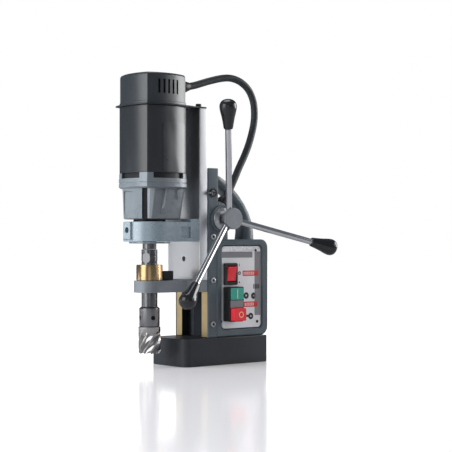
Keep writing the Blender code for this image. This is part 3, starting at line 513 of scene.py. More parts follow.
def motor_housing():
    """The motor's tube, the label plate on its +X side and the dark skirt in the gap below it."""
    z0, z1 = MOTOR_LOW.z, MOTOR_HIGH.z
    shell = prism("motor_shell", motor_outline(0), z0, z1)
    bore = prism("bore", motor_outline(-WALL), z0 - 5, z1 + 5)
    cut(shell, bore)
    stand_for(soften(shell, 0.4), "motor_housing")
    plate = block("label_plate", (20, 60), LABEL_Y, (z0 + 1.5, z1 - 24), 5.0, "X")
    boolean(plate, [prism("label_face", motor_outline(LABEL_PROUD), z0 - 5, z1 + 5)], "INTERSECT")
    cut(plate, prism("label_back", motor_outline(0.02), z0 - 5, z1 + 5))
    add_to(smooth(plate, 25), "carriage", "motor_label")
    skirt = prism("skirt", motor_outline(-WALL - 0.4), z0 - SKIRT_DEPTH, z0 + 6)
    cut(skirt, prism("skirt_bore", motor_outline(-WALL - 2.0), z0 - 20, z0 + 20))
    add_to(smooth(skirt), "carriage", "black_plastic")


def motor_cap():
    """The cap with its rounded top, air slots through both sides and a screw in a well near each corner."""
    low, high = box("motor_cap")
    z0, z1 = low.z, high.z
    rings = [(z0, 0), (z0 + CAP_BAND, 0), (z0 + CAP_BAND + 0.6, -CAP_STEP), (z1 - 5.0, -CAP_STEP)]
    for a in (0.35, 0.7, 1.05, 1.35):
        rings.append((z1 - 5.0 + 4.7 * math.sin(a), -CAP_STEP - 4.0 * (1 - math.cos(a))))
    rings.append((z1, -6.0))
    cap = loft("cap_shell", [(z, motor_outline(off)) for z, off in rings])
    hollow = loft("cap_hollow", [(z0 - 5, motor_outline(-4)), (z1 - 6, motor_outline(-6))])
    slots = []
    half = VENT_WIDTH / 2
    for k in range(VENTS):
        y = MOTOR_Y + VENT_FIRST + VENT_PITCH * k
        slots.append(block(f"slot_{k}", (-60, 60), (y - half, y + half), VENT_Z, 0.8, "X"))
    hole = rod("gland_hole", 6.3, -10, 6, MOTOR_GLAND, MOTOR_GLAND_AXIS)
    wells = [rod("well", 3.6, z1 - 4.0, z1 + 3, (x, y, 0)) for x, y in CAP_SCREWS]
    cut(cap, hollow, hole, *slots, *wells)
    stand_for(soften(cap, 0.3), "motor_cap", "cap_plastic")
    for k, (x, y) in enumerate(CAP_SCREWS):
        screw = socket_screw(f"cap_screw_{k + 1}", (x, y, z1 - 4.2), UP, 2.9, 2.2, 1.4)
        add_to(screw, "carriage", "black_steel")


def eight_sided(ax, ay, centre_y, chamfer, bow=2.5, steps=12):
    """A rectangle of half sizes ax by ay with cut corners, its sides bowed outwards by `bow`."""

    def side(half):
        for k in range(steps + 1):
            t = -1 + 2 * k / steps
            yield t * half, bow * (1 - t * t)

    outline = [(t, -ay - s) for t, s in side(ax - chamfer)]
    outline += [(ax + s, t) for t, s in side(ay - chamfer)]
    outline += [(-t, ay + s) for t, s in side(ax - chamfer)]
    outline += [(-ax - s, -t) for t, s in side(ay - chamfer)]
    return [(u, v + centre_y) for u, v in outline]


def gear_rib(name, sign, x, y_top, y_foot, foot, proud, wide):
    """A low rib down one flank of the gear case: a steep wall in front, a long slope behind."""
    z1 = FLANGE_Z[0] + 1
    rings = []
    for k in range(5):
        t = k / 4
        z = foot + (z1 - foot) * t
        y = y_foot + (y_top - y_foot) * t
        out = x - 1.2 * (z1 - z) / 45 + proud * (0.15 if k == 0 else 1)
        front = [(x - 5, y - 1.1), (x - 0.3, y - 1.1), (out, y + 0.3)]
        ring = front + [(x - 1.4, y + wide), (x - 5, y + wide)]
        rings.append((z, [(sign * u, v) for u, v in ring]))
    return loft(name, rings)


def corner_groove(sign):
    """A cutter for the draft groove down a front corner of the gear case."""
    z0, z1 = box("gear_housing")[0].z, FLANGE_Z[0]
    rings = []
    along = Vector((1, 1)) / math.sqrt(2)
    out = Vector((1, -1)) / math.sqrt(2)
    section = ((-3.7, -2.2), (3.5, -2.2), (4.2, 5.0), (-4.4, 5.0))
    for z, (ax, ay, centre) in ((z0 - 1, GEAR_FOOT), (z1 - 0.6, GEAR_TOP)):
        middle = Vector((ax - GEAR_CHAMFER / 2, centre - ay + GEAR_CHAMFER / 2))
        ring = [middle + along * a + out * b for a, b in section]
        rings.append((z, [(sign * u, v) for u, v in ring]))
    return loft("corner_groove", rings)


def gear_flange(z3):
    """The flange under the motor with the groove round it, and the four posts that carry the motor."""
    z1, z2 = FLANGE_Z
    out = FLANGE_PROUD
    rings = (
        (z1 - 0.5, -1.8), (z1 + 1.8, out), (269.6, out), (270.0, 0.2), (270.9, 0.2), (271.3, out),
        (z2, out),
    )
    flange = loft("flange", [(z, motor_outline(offset)) for z, offset in rings])
    posts = prism("posts", motor_outline(0.4), z2 - 3, z3)
    side_gap = block("side_gap", (-60, 60), (MOTOR_Y - 27, MOTOR_Y + 27), (z2 - 5, z3 + 5))
    end_gap = block("end_gap", (-22.5, 22.5), (MOTOR_Y - 70, MOTOR_Y + 70), (z2 - 6, z3 + 6))
    return flange, cut(posts, side_gap, end_gap)


def gear_ribs(z0):
    """On each side a wedge behind the corner groove and two ribs."""
    z1 = FLANGE_Z[0]
    wedge = (
        (z0 + FOOT_EDGE, [(28.0, -137.6), (31.6, -136.4), (30.6, -131.4), (26.0, -131.4)]),
        (z1 + 1, [(30.0, -139.2), (34.4, -137.4), (32.2, -126.5), (28.0, -126.5)]),
    )
    ribs = []
    for sign in (-1, 1):
        rings = [(z, [(sign * x, y) for x, y in ring]) for z, ring in wedge]
        ribs.append(loft("corner_wedge", rings))
        ribs.append(gear_rib("rib", sign, 33.0, -109.8, -114.6, z0 + 8, 3.4, 5.6))
        ribs.append(gear_rib("rib", sign, 32.4, -87.0, -86.0, z1 - 16, 2.4, 3.6))
    return ribs


def gear_housing():
    """The gear case: a tapered shell with cut corners, open at the top, the faces of its two front grooves
    black as painted shade.
    """
    low, high = box("gear_housing")
    z0, z3 = low.z, high.z
    z1 = FLANGE_Z[0]
    body = loft("gear_case", [
        (z0, eight_sided(28.2, 33.7, MOTOR_Y - 1.4, 6.2)),
        (z0 + FOOT_EDGE, eight_sided(*GEAR_FOOT, GEAR_CHAMFER)),
        (z1 + 1, eight_sided(*GEAR_TOP, GEAR_CHAMFER)),
    ])
    join(body, *gear_flange(z3), *gear_ribs(z0))
    inside = [(z0 + 5, bulged(20.5, 26.5, 3, 3)), (z1 + 3, bulged(24.5, 31.5, 3, 3, MOTOR_Y + 1.5))]
    hollow = loft("hollow", inside)
    throat = prism("throat", motor_outline(-WALL), z1 + 2.5, z3 + 5)
    bore = rod("bore", 12.5, z0 - 5, z0 + 10, (0, SPINDLE_Y, 0))
    recess = block("front_recess", RECESS_X, (-200, RECESS_Y), RECESS_Z, 2.0, "Y")
    cut(body, hollow, throat, bore, recess, corner_groove(1), corner_groove(-1))
    stand_for(soften(body, 0.45), "gear_housing")
    # black plastic on the faces down the two front grooves: painted shade
    body.data.materials.append(MATERIALS["black_plastic"])
    for face in body.data.polygons:
        diagonal = abs(face.normal.x) > 0.6 and face.normal.y < -0.6
        face.material_index = int(diagonal and GROOVE_SHADE_X[0] < abs(face.center.x) / MM < GROOVE_SHADE_X[1])


def socket_screw(name, at, direction, radius, height, socket, edge=0.5, steps=40):
    """A round-headed screw with a hexagon socket in its head."""
    profile = [
        (0, 0), (radius, 0), (radius, height - edge), (radius - 0.3 * edge, height - 0.3 * edge),
        (radius - edge, height), (0, height),
    ]
    head = lathe(name, profile, at, direction, steps)
    foot = 0.45 * height
    hexagon = [(0, foot), (socket, foot), (socket, height + 1), (0, height + 1)]
    cut(head, lathe("hexagon", hexagon, at, direction, 6))
    return smooth(head, 30)


def top_plate():
    refined("top_plate", 0.3, mat="dark_plate")
    for node in ("plate_bolt_left", "plate_bolt_right"):
        low, high = box(node)
        centre = (low + high) / 2
        at = (centre.x, centre.y, box("top_plate")[1].z + 0.3)
        stand_for(socket_screw(node + "_head", at, UP, 4.2, 4.9, 2.3, 0.6), node)


# ---------------------------------------------------------- capstan and feed

FEED_LOW, FEED_HIGH = box("feed_shaft")
FEED_Y = (FEED_LOW.y + FEED_HIGH.y) / 2
FEED_Z = (FEED_LOW.z + FEED_HIGH.z) / 2
HUB_FACE = box("capstan_hub")[1].x
HUB_ROOT = HUB_FACE - 12.4
SPOKE_LEAN = math.radians(16.6)
SPOKE_START = math.radians(-15.1)
SPOKE_LENGTH = 184.0
KNOB_LENGTH = 44.0
SPOKE_R = 4.7
BOSS_X = 43.5


def spoke_direction(k):
    """The way the spoke points from the hub; all three lean outwards."""
    a = SPOKE_START + k * 2 * math.pi / 3
    reach = math.cos(SPOKE_LEAN)
    return Vector((math.sin(SPOKE_LEAN), reach * math.sin(a), reach * math.cos(a)))


def curve_through(pairs, steps=5):
    """Catmull-Rom points through a list of vectors or pairs."""
    pts = [Vector(p) for p in pairs]
    pts = [pts[0] * 2 - pts[1]] + pts + [pts[-1] * 2 - pts[-2]]
    out = []
    for k in range(1, len(pts) - 2):
        a, b, c, d = pts[k - 1 : k + 3]
        for n in range(steps):
            t = n / steps
            square = (2 * a - 5 * b + 4 * c - d) * t * t
            cube = (3 * b - a - 3 * c + d) * t**3
            out.append(0.5 * (2 * b + (c - a) * t + square + cube))
    return out + [pts[-2]]


def capstan():
    """The feed shaft, the hub with its conical back, and three chromed spokes with drop-shaped knobs."""
    at = Vector((0, FEED_Y, FEED_Z))
    refined("feed_shaft", 0.25, mat="screw_steel")
    profile = (
        (0, 66.4), (6.9, 66.4), (6.9, 56.4), (8.6, 56.4), (9.0, 57.0), (15.4, 64.2), (15.9, 65.2),
        (15.9, 69.9), (15.7, 70.5), (15.2, HUB_FACE), (0, HUB_FACE),
    )
    hub = lathe("hub", profile, at, RIGHT, 96)
    root = Vector((HUB_ROOT, FEED_Y, FEED_Z))
    holes = [rod("hole", SPOKE_R + 0.3, 8.2, 40, root, spoke_direction(k)) for k in range(3)]
    stand_for(smooth(clean(cut(hub, *holes)), 20), "capstan_hub", "hub_grey")
    shape = (
        (6.5, 0.3), (7.1, 2.0), (8.0, 8.0), (9.6, 17.0), (11.4, 24.5), (12.5, 30.5), (12.6, 34.5),
        (11.7, 38.0), (9.6, 41.0), (6.4, 43.0), (2.6, 43.9), (0.0, KNOB_LENGTH),
    )
    start = SPOKE_LENGTH - KNOB_LENGTH
    for k in range(3):
        way = spoke_direction(k)
        bar = rod(f"spoke_bar_{k + 1}", SPOKE_R, 8.8, start + 19.5, root, way, 0.4)
        stand_for(smooth(bar, 20), f"spoke_{k + 1}")
        profile = [(0, start + 20.2), (SPOKE_R + 0.2, start + 20.2), (SPOKE_R + 0.2, start), (6.1, start)]
        profile += [(max(r, 0.0), start + h) for r, h in curve_through(shape)[:-1]]
        profile.append((0, SPOKE_LENGTH))
        grip = lathe(f"knob_grip_{k + 1}", profile, root, way, 72)
        stand_for(smooth(grip, 30), f"knob_{k + 1}")


def feed_bushes():
    """The bushes of the feed shaft and the bevelled ring on the boss's +X face."""
    refined("feed_bush_left", 0.3)
    refined("feed_bush_right", 0.25, mat="screw_steel")
    profile = [(9.5, BOSS_X), (16.8, BOSS_X), (16.6, 43.9), (11.6, 47.2), (9.5, 47.2)]
    ring = lathe("boss_ring", profile, (0, FEED_Y, FEED_Z), RIGHT, 96)
    add_to(smooth(ring, 25), "frame", "screw_steel")


# ------------------------------------------------------------ spindle pieces


HOLDER_TOP = 89.0
HOLDER_R = 15.1
SHANK_R = 11.8
BORE_R = 9.8
NECK_R = 11.3
FLATS_Z = 161
FLAT_WAYS = (-65, 115)
GRUB_Z = 73
GRUB_WAYS = (-15, -105)


def arbor_profile(z0, top):
    """The arbor's outline: the holder's bore, its foot and shoulder, and the shank with two grooves."""
    z1 = HOLDER_TOP
    return [
        (0, 86.5), (BORE_R, 86.5), (BORE_R, z0), (14.5, z0), (14.95, z0 + 0.3), (HOLDER_R, z0 + 0.9),
        (HOLDER_R, z1 - 2.6), (14.7, z1 - 1.8), (12.9, z1 - 0.4), (12.1, z1), (SHANK_R, z1 + 0.5),
        (SHANK_R, 154.0), (NECK_R, 154.6), (NECK_R, 156.0), (SHANK_R, 156.6), (SHANK_R, top - 9),
        (11.4, top - 8.6), (11.4, top - 7.8), (SHANK_R, top - 7.4), (SHANK_R, top - 0.6), (NECK_R, top),
        (0, top),
    ]


def spindle():
    """The arbor, its holder in a duller steel than its shank, and the grub screws that hold the cutter."""
    at = Vector((0, SPINDLE_Y, 0))
    low, high = box("arbor")
    arbor = lathe("arbor_body", arbor_profile(low.z, high.z), at, UP, 96)
    flats_at = (0, SPINDLE_Y, FLATS_Z)
    grub_at = (0, SPINDLE_Y, GRUB_Z)
    cutters = [rod("flat", 7.5, 10.2, 30, flats_at, around_spindle(way)) for way in FLAT_WAYS]
    cutters += [rod("grub_hole", 3.3, 6, 20, grub_at, around_spindle(way)) for way in GRUB_WAYS]
    cut(arbor, *cutters)
    stand_for(smooth(clean(arbor), 25), "arbor")
    arbor.data.materials.append(MATERIALS["holder_steel"])
    for face in arbor.data.polygons:
        face.material_index = int(face.center.z < (HOLDER_TOP + 0.6) * MM)
    for k, way in enumerate(GRUB_WAYS):
        side = Vector(around_spindle(way))
        foot = Vector(grub_at) + side * 10.2
        screw = socket_screw(f"grub_screw_{k + 1}", foot, side, 3.0, 3.2, 1.6, 0.3)
        stand_for(screw, f"arbor_screw_{k + 1}")
    cutter()


def around_spindle(degrees):
    a = math.radians(degrees)
    return math.cos(a), math.sin(a), 0.0


FLUTES = 9
FLUTE_TWIST = math.radians(2.3)
FLUTE_DEPTH = 2.9
FLUTE_LAYERS = 34
PER_FLUTE = 16
TOOTH = 2.4
CUTTER_R = 16.3
CORE_R = 12.6
CORE_TOP = 50.5
NECK_Z = 53.0
RUN_OUT = 7


def flute_radius(phase):
    """The cutter's radius at a phase of one flute: a land, a gullet with a steep face, a rising back."""
    phase %= 1.0
    if phase < 0.26:
        return CUTTER_R
    if phase < 0.34:
        return CUTTER_R - FLUTE_DEPTH * (phase - 0.26) / 0.08
    t = (phase - 0.34) / 0.66
    return CUTTER_R - FLUTE_DEPTH + FLUTE_DEPTH * t**2.2


def cutter_ring(turn, radius, height, fluted=0.0, toothed=0.0):
    """One ring of the cutter's points; `fluted` and `toothed` are its shares of flutes and teeth."""
    ring = []
    for i in range(FLUTES * PER_FLUTE):
        phase = i / PER_FLUTE
        r = radius + (flute_radius(phase) - CUTTER_R) * fluted
        a = phase * 2 * math.pi / FLUTES + turn
        tooth = TOOTH * ((phase + 0.74) % 1.0) * toothed
        ring.append((r * math.cos(a), r * math.sin(a) + SPINDLE_Y, height + tooth))
    return ring


def cutter():
    """A hollow cutter: helical flutes that run out into a plain neck, and teeth round its lower edge."""
    z0 = box("annular_cutter")[0].z
    tall = NECK_Z - z0
    turn = FLUTE_TWIST * tall
    rings = []
    for n in range(FLUTE_LAYERS + 1):
        height = tall * n / FLUTE_LAYERS
        fade = max(0.0, (height - (tall - RUN_OUT)) / RUN_OUT)
        teeth = (1 - n / FLUTE_LAYERS) ** 6
        rings.append(cutter_ring(FLUTE_TWIST * height, CUTTER_R, z0 + height, 1 - fade, teeth))
    plain = (
        (CUTTER_R, 59.2), (CUTTER_R - 0.8, 60.0), (9.5, 60.0), (9.5, 84.0), (3.3, 84.0), (3.3, 52.0),
        (CORE_R - 2, 52.0), (CORE_R, CORE_TOP),
    )
    rings += [cutter_ring(turn, r, z) for r, z in plain]
    for n in range(1, 10):
        rings.append(cutter_ring(turn * (1 - n / 9), CORE_R, CORE_TOP - (CORE_TOP - z0 - 3) * n / 9))
    rings.append(cutter_ring(0.0, CORE_R, z0, toothed=1.0))
    points = [point for ring in rings for point in ring]
    body = link_mesh("cutter_body", points, skin(FLUTES * PER_FLUTE, len(rings), closed=True))
    stand_for(smooth(body, 28), "annular_cutter")


RING_BORE = 12.2
SPACER_R = 23.6
SPACER_FOOT = 214.2


def coolant_ring():
    """The coolant ring with its elbow, and the black spacer between the bracket and the gear case."""
    low, high = box("coolant_ring")
    z0, z1 = low.z, high.z
    r = high.x
    profile = [
        (RING_BORE, z0), (r - 0.6, z0), (r, z0 + 0.6), (r, z1 - 0.8), (r - 0.25, z1 - 0.25), (r - 0.8, z1),
        (RING_BORE, z1),
    ]
    ring = lathe("coolant_collar", profile, (0, SPINDLE_Y, 0), UP, 96)
    stand_for(smooth(ring, 25), "coolant_ring")
    refined("coolant_elbow", 0.8, 3)
    top = box("gear_housing")[0].z - 0.2
    profile = [(11.4, SPACER_FOOT), (SPACER_R, SPACER_FOOT), (SPACER_R, top), (11.4, top)]
    spacer = lathe("gear_spacer", profile, (0, SPINDLE_Y, 0), UP, 72)
    add_to(smooth(spacer, 30), "carriage", "black_steel")


# ---------------------------------------------------------------- the frame


GIB_HEAD = 2.2
CHANNEL_HALF = 23.4
CHANNEL_TOP = 294.0
# across the channel, where the paler strip of painted highlight runs
HIGHLIGHT_TRACK_X = (-18.0, -11.6)


def lock_nut():
    """A lock nut round the uppermost gib screw with its short adjusting pin."""
    low, high = box("gib_screw_1")
    y = (low.y + high.y) / 2
    z = (low.z + high.z) / 2
    x0 = high.x - GIB_HEAD
    profile = [(4.6, x0), (6.5, x0), (6.5, x0 + 2.6), (5.9, x0 + 3.2), (4.6, x0 + 3.2)]
    nut = lathe("lock_nut", profile, (0, y, z), RIGHT)
    add_to(smooth(nut, 30), "frame", "dark_plate")
    pin = rod("lock_pin", 2.3, 5.9, 10.8, (x0 + 1.9, y, z), (0, -1, -0.06), 0.5, 24)
    add_to(smooth(pin, 30), "frame", "steel")


def channel_shade_sheet():
    """A black sheet over the back of the slide's channel as painted shade, with a paler strip on it as a
    painted highlight.
    """
    back = box("gib_right")[1].y
    z0 = box("magnet_body")[1].z + 0.3
    z1 = CHANNEL_TOP
    # a black sheet over the channel's back wall: painted shade
    shade_sheet = block("channel_shade_sheet", (-CHANNEL_HALF, CHANNEL_HALF), (back - 0.3, back + 0.2), (z0, z1), 0.2)
    add_to(shade_sheet, "frame", "channel_painted_shade")
    # a paler strip down the black sheet: painted highlight
    track = block("channel_highlight_track", HIGHLIGHT_TRACK_X, (back - 0.6, back - 0.2), (z0 + 1, z1 - 1), 0.2)
    add_to(track, "frame", "painted_highlight_track")


def gib_screws():
    """The heads of the gib screws, each with a black hexagon at the bottom of its socket as painted shade.
    """
    for k in range(4):
        node = f"gib_screw_{k + 1}"
        low, high = box(node)
        at = (high.x - GIB_HEAD, (low.y + high.y) / 2, (low.z + high.z) / 2)
        head = socket_screw(f"gib_screw_head_{k + 1}", at, RIGHT, 4.3, GIB_HEAD, 2.4, 0.6)
        stand_for(head, node, "screw_steel" if k else "steel")
        # a black hexagon in the foot of the socket: painted shade
        bottom = [(0, 1.0), (2.35, 1.0), (2.35, 1.5), (0, 1.5)]
        hole = lathe(f"gib_screw_socket_shade_{k + 1}", bottom, at, RIGHT, 6)
        add_to(hole, "frame", "black_print_and_shade")


def casting():
    """The frame, the foot and the brass gibs, whose faces inside the channel are painted black as shade."""
    refined("frame_casting", 0.5)
    refined("magnet_body", 0.6)
    for node, inward in (("gib_left", 1), ("gib_right", -1)):
        gib = refined(node, 0.4, mat="gib_brass")
        # the gibs' faces inside the channel take the channel's black: painted shade
        gib.data.materials.append(MATERIALS["channel_painted_shade"])
        for face in gib.data.polygons:
            face.material_index = int(face.normal.x * inward > 0.9)


PANEL_BARS = ((33.5, 64.5, 132.4, 140.6), (36.0, 63.5, 85.0, 93.2))
PANEL_DISCS = (((40.6, 102.5), 1.5), ((55.4, 101.8), 0.8), ((49.8, 70.9), 1.3))
PANEL_SCREWS = ((59.5, 171.6), (-9.4, 64.5), (62.5, 62.4))
PRINT = 0.12
OVER = PRINT + 0.02


def panel():
    """The panel with its bands, bars and pictograms, the rocker in its bezel and the motor's switch box."""
    refined("control_panel", 0.25)
    refined("switch_bezel", 0.4)
    refined("motor_switch_box", 0.5)
    refined("magnet_rocker", 0.6, 3)
    face = box("control_panel")[1].x
    panel_bands(face)
    panel_bars(face)
    panel_marks(face)
    for k, (y, z) in enumerate(PANEL_SCREWS):
        screw = socket_screw(f"panel_screw_{k + 1}", (face, y, z), RIGHT, 2.2, 0.9, 1.1, 0.3)
        add_to(screw, "frame", "black_steel" if k else "steel")
    buttons()


def panel_bands(face):
    top = [(-6.0, 170.8), (60.5, 170.8), (57.0, 177.6), (-2.0, 177.6)]
    decal("strip_top", top, face, "panel_bright")
    decal("band_grey", rounded(-8.5, 53.0, 160.4, 169.6, 0.6), face, "panel_grey")
    decal("strip_right", rounded(57.5, 70.5, 72.0, 169.6, 1.5), face, "panel_mid")


def panel_bars(face):
    """The two red bars, paler inside, with plain ticks in place of words."""
    for k, (y0, y1, z0, z1) in enumerate(PANEL_BARS):
        decal(f"bar_{k + 1}", rounded(y0, y1, z0, z1, 0.6), face + 0.02, "print_red")
        fill = rounded(y0 + 1.6, y1 - 8.0, z0 + 1.8, z1 - 1.8, 0.4)
        decal(f"bar_fill_{k + 1}", fill, face + OVER, "print_pink")
        for n in range(5):
            y = y0 + 4.0 + n * (y1 - y0 - 12) / 5
            tick = rounded(y, y + 1.1, z0 + 2.4, z1 - 2.4, 0.3)
            decal(f"bar_{k + 1}_tick_{n}", tick, face + OVER + PRINT, "print_red")


def panel_marks(face):
    """The discs, the marks beside the rocker and four plain ticks."""
    for k, (centre, eye) in enumerate(PANEL_DISCS):
        disc(k + 1, centre, 5.0, eye, face)
    decal("disc_3_tail", [(40.5, 69.4), (46.0, 69.9), (46.0, 72.6), (40.5, 73.4)], face, "black_print_and_shade")
    decal("rocker_mark", rounded(24.5, 30.0, 134.2, 139.6, 2.2), face, "black_print_and_shade")
    decal("rocker_mark_eye", rounded(26.2, 28.6, 135.6, 138.2, 1.0), face + OVER, "panel_bright")
    for n in range(4):
        y = 55.0 + 3.1 * n
        decal(f"panel_tick_{n}", rounded(y, y + 1.7, 112.6, 119.8, 0.3), face, "black_print_and_shade")
    decal("rocker_on", rounded(26.4, 27.6, 147.2, 151.4, 0.3), face, "print_red")
    decal("rocker_off", rounded(25.6, 28.2, 121.4, 124.4, 1.2), face, "print_red")


def disc(number, centre, outer, inner, face):
    """A round pictogram: a printed disc with a pale eye."""
    y, z = centre
    round_print = rod(f"disc_{number}", outer, face, face + PRINT, (0, y, z), RIGHT)
    add_to(round_print, "frame", "black_print_and_shade")
    eye = rod(f"disc_{number}_eye", inner, face + 0.1, face + 0.24, (0, y, z), RIGHT)
    add_to(eye, "frame", "panel_bright")


def buttons():
    """The switch box's two buttons with their generic I and O, and the grey piece between them."""
    start_button()
    stop_button()
    low, high = box("motor_switch_box")
    start_low = box("start_button")[0].z
    stop_high = box("stop_button")[1].z
    middle = block("switch_middle", (high.x - 0.6, high.x + 0.5), (low.y + 1.5, high.y - 2.0),
                   (stop_high + 0.6, start_low - 0.6), 0.6, "X")
    add_to(soften(middle, 0.2), "frame", "panel_mid")


def start_button():
    """The green button: seven upright ribs, the middle one the white I."""
    refined("start_button", 0.6, 3)
    low, high = box("start_button")
    for n in range(7):
        white = n == 3
        y = low.y + 2.2 + n * (high.y - low.y - 4.4) / 6
        half = 0.45 * (1.2 if white else 0.9)
        rib = block(f"start_rib_{n}", (high.x - 0.2, high.x + 0.1), (y - half, y + half),
                    (low.z + 2.2, high.z - 2.2), 0.3, "X")
        add_to(rib, "start", "print_white" if white else "green_plastic")


def stop_button():
    """The red button with a ring for its O."""
    refined("stop_button", 0.6, 3)
    low, high = box("stop_button")
    at = (0, (low.y + high.y) / 2 + 1.6, (low.z + high.z) / 2)
    profile = [(3.3, high.x - 0.1), (4.6, high.x - 0.1), (4.6, high.x + 0.1), (3.3, high.x + 0.1)]
    ring = smooth(lathe("stop_ring", profile, at, RIGHT, 48))
    add_to(ring, "stop", "print_orange")


def decal(name, outline, face, mat):
    """A thin printed shape on a face that looks along +X; outline in (Y, Z)."""
    return add_to(prism(name, outline, face, face + PRINT, "X"), "frame", mat)


def carriage():
    """The pieces of the carriage whose own shape only needs its edges rounded."""
    refined("slide", 0.4)
    refined("motor_bracket", 0.7, 3)
    refined("bearing_cap", 0.4)
    refined("support_plate", 0.5, mat="support_paint")
    refined("rack", 0.15)
    refined("bracket_clamp_screw", 0.3)


# ------------------------------------------------------------------- conduit

CONDUIT_PATH = (
    (14.0, -37.0, 420.0), (14.8, -13.4, 427.4), (16.6, 10.0, 433.4), (18.2, 28.1, 435.0),
    (20.0, 45.7, 430.5), (21.5, 60.5, 419.5), (23.0, 69.0, 402.7), (24.2, 70.7, 382.9),
    (25.6, 67.2, 363.0), (27.4, 57.5, 337.6), (28.8, 46.9, 317.5), (30.4, 34.0, 297.3),
    (31.6, 25.1, 282.3), (32.5, 14.0, 264.0),
)
CONDUIT_R = 5.4
GLAND_FOOT = Vector((34.0, -8.5, 235.5))
GLAND_TOP = Vector((33.2, 4.2, 250.2))


def tube(name, points, radius, steps=28):
    """A round tube along the points, its ends closed."""
    rings = []
    side = Vector((1, 0, 0))
    for k, p in enumerate(points):
        ahead = (points[min(k + 1, len(points) - 1)] - points[max(k - 1, 0)]).normalized()
        side = (side - ahead * side.dot(ahead)).normalized()
        over = ahead.cross(side)
        for n in range(steps):
            a = 2 * math.pi * n / steps
            rings.append(p + (side * math.cos(a) + over * math.sin(a)) * radius)
    return link_mesh(name, rings, skin(steps, len(points)))


def conduit():
    """The hose from the motor to the frame, held at both ends."""
    up = (GLAND_TOP - GLAND_FOOT).normalized()
    start = MOTOR_GLAND + MOTOR_GLAND_AXIS * MOTOR_GLAND_LENGTH
    path = curve_through([start] + [Vector(p) for p in CONDUIT_PATH] + [GLAND_TOP + up * 0.6], 7)
    hose = smooth(tube("conduit_hose", path, CONDUIT_R), 50)
    dress(hose, "rubber")
    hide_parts("conduit")
    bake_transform(hose)


GRIPS = 12
NUT_R = 9.0


def conduit_gland():
    """A pale foot with a shoulder, and on it a black nut with grip grooves."""
    up = (GLAND_TOP - GLAND_FOOT).normalized()
    tall = (GLAND_TOP - GLAND_FOOT).length
    foot = [(0, -1.0), (8.6, -1.0), (8.6, 3.2), (7.6, 4.2), (7.6, 7.0), (0, 7.0)]
    base = lathe("conduit_gland_base", foot, GLAND_FOOT, up, 64)
    add_to(smooth(base, 25), "frame", "screw_steel")
    profile = [(0, 6.8), (8.2, 6.8), (NUT_R, 7.6), (NUT_R, tall - 4.5), (7.2, tall - 0.8), (6.6, tall)]
    nut = lathe("conduit_gland_nut", profile + [(0, tall)], GLAND_FOOT, up, 72)
    side = up.orthogonal().normalized()
    over = up.cross(side)
    grooves = []
    for k in range(GRIPS):
        a = math.radians(360 / GRIPS * k)
        at = GLAND_FOOT + (side * math.cos(a) + over * math.sin(a)) * (NUT_R + 0.2)
        grooves.append(rod("groove", 0.8, 5.5, tall - 3.6, at, up, steps=12))
    cut(nut, *grooves)
    stand_for(smooth(clean(nut), 30), "conduit_gland", "black_plastic")


def glands():
    conduit_gland()
    refined("motor_gland", 0.3)
    refined("mains_gland", 0.3)


# --------------------------------------------------------------- whole model


def inner_nodes():
    """CAD nodes that stay: each gets the material of its slot."""
    for name, obj in frame["nodes"].items():
        if obj.hide_render:
            continue
        dress(obj, SLOT_OF[name])


LENS = 102.35
CAMERA_SHIFT = 0.0318
CAMERA_AT = (1.53037, -1.23422, 0.18665)
CAMERA_AZIMUTH = 50.36
AIM = Vector((0.0, -0.05, 0.22))

# name: (azimuth of its direction, height, distance, width, height of the panel, radiance)
PANELS = {
    "key_left": (-92, 0.50, 1.9, 1.40, 1.8, 1.9),
    "fill_left": (-142, -0.13, 2.2, 0.75, 0.40, 1.25),
    "fill_front": (-38, 0.25, 2.6, 0.9, 1.2, 0.40),
    "fill_right": (38, 0.72, 2.2, 0.65, 1.2, 1.05),
    "rim_right": (72, 0.58, 2.0, 1.30, 1.35, 4.4),
    "overhead": (160, 2.10, 0.5, 1.2, 1.2, 1.8),
    "wash_left": (-116, 0.60, 1.9, 1.20, 1.2, 12.0),
}
# panels that light the object without showing in its reflections
WASHES = ("wash_left",)
SKY_FOR_GLOSS = (0.115, 0.125, 0.145)
SKY = (0.50, 0.50, 0.515)
BACKDROP = (1.30, 1.30, 1.31)
BACKDROP_WAY = (-0.770, 0.638, 0.0)
BACKDROP_EDGE = (0.955, 0.985)
FLOOR = (0.80, 0.80, 0.83)
FLOOR_FOR_LIGHT = (0.52, 0.52, 0.535)
FLOOR_FOR_GLOSS = (0.30, 0.305, 0.32)
FLOOR_ROUGHNESS = 0.12
FLOOR_GLOW = 0.14
FLOOR_R = 9000


def studio():
    """The camera at the photograph's angle, the soft panels, the table and the room."""
    cam = bpy.data.cameras.new("camera")
    cam.lens = LENS
    cam.shift_y = CAMERA_SHIFT
    camera = bpy.data.objects.new("camera", cam)
    camera.location = CAMERA_AT
    camera.rotation_euler = (math.radians(90), 0, math.radians(CAMERA_AZIMUTH))
    bpy.context.scene.collection.objects.link(camera)
    bpy.context.scene.camera = camera
    for name, values in PANELS.items():
        panel_light(name, *values)
    floor()
    world()
    bpy.context.scene.view_settings.view_transform = "Standard"


def panel_light(name, azimuth, height, distance, width, tall, radiance):
    """A soft panel that gives off the same radiance whatever its size."""
    light = bpy.data.lights.new(name, "AREA")
    light.shape = "RECTANGLE"
    light.size = width
    light.size_y = tall
    light.energy = radiance * math.pi * width * tall
    obj = bpy.data.objects.new(name, light)
    a = math.radians(azimuth)
    obj.location = AIM + Vector((distance * math.cos(a), distance * math.sin(a), height))
    obj.rotation_euler = (AIM - obj.location).to_track_quat("-Z", "Y").to_euler()
    obj.visible_camera = False
    obj.visible_glossy = name not in WASHES
    bpy.context.scene.collection.objects.link(obj)


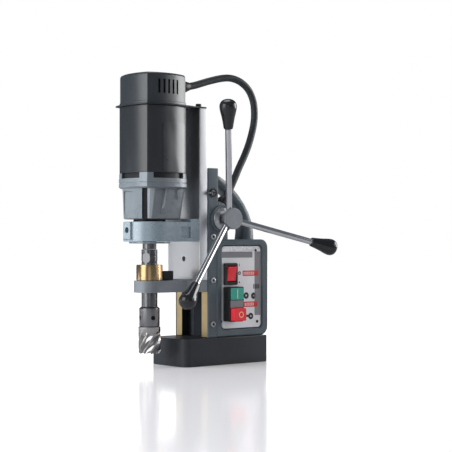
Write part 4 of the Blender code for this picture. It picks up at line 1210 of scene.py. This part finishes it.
def floor():
    """A pale glossy table: white where it is looked at, greyer where it lights the object from below."""
    ground = lathe("floor", [(0, -4), (FLOOR_R, -4), (FLOOR_R, -0.2), (0, -0.2)], (0, 0, 0), UP, 96)
    mat = bpy.data.materials.new("floor_white")
    mat.use_nodes = True
    tree = mat.node_tree
    shader = tree.nodes["Principled BSDF"]
    shader.inputs["Base Color"].default_value = (*FLOOR, 1)
    shader.inputs["Roughness"].default_value = FLOOR_ROUGHNESS
    shader.inputs["Emission Color"].default_value = (1, 1, 1, 1)
    shader.inputs["Emission Strength"].default_value = FLOOR_GLOW
    path = tree.nodes.new("ShaderNodeLightPath")
    bounce = mix(tree, path.outputs["Is Glossy Ray"], (*FLOOR_FOR_LIGHT, 1), (*FLOOR_FOR_GLOSS, 1))
    plain = new_node(tree, "BsdfDiffuse", Color=bounce)
    choice = tree.nodes.new("ShaderNodeMixShader")
    tree.links.new(path.outputs["Is Camera Ray"], choice.inputs[0])
    tree.links.new(plain.outputs[0], choice.inputs[1])
    tree.links.new(shader.outputs[0], choice.inputs[2])
    tree.links.new(choice.outputs[0], tree.nodes["Material Output"].inputs["Surface"])
    ground.data.materials.append(mat)


def world():
    """White to the camera, a grey sky for diffuse light, a dark room with a white wall in reflections."""
    sky = bpy.data.worlds.new("studio")
    bpy.context.scene.world = sky
    sky.use_nodes = True
    tree = sky.node_tree
    way = tree.nodes.new("ShaderNodeTexCoord").outputs["Generated"]
    dot = tree.nodes.new("ShaderNodeVectorMath")
    dot.operation = "DOT_PRODUCT"
    dot.inputs[1].default_value = BACKDROP_WAY
    tree.links.new(way, dot.inputs[0])
    backdrop = spread(tree, dot.outputs["Value"], 0.0, 1.0, *BACKDROP_EDGE)
    room = mix(tree, backdrop, (*SKY_FOR_GLOSS, 1), (*BACKDROP, 1))
    path = tree.nodes.new("ShaderNodeLightPath")
    shade = mix(tree, path.outputs["Is Glossy Ray"], (*SKY, 1), room)
    shade = mix(tree, path.outputs["Is Camera Ray"], shade, (1.0, 1.0, 1.0, 1))
    tree.links.new(shade, tree.nodes["Background"].inputs["Color"])


def build():
    motor_housing()
    motor_cap()
    gear_housing()
    top_plate()
    capstan()
    feed_bushes()
    spindle()
    coolant_ring()
    casting()
    gib_screws()
    lock_nut()
    channel_shade_sheet()
    panel()
    carriage()
    conduit()
    glands()
    inner_nodes()


build()
studio()
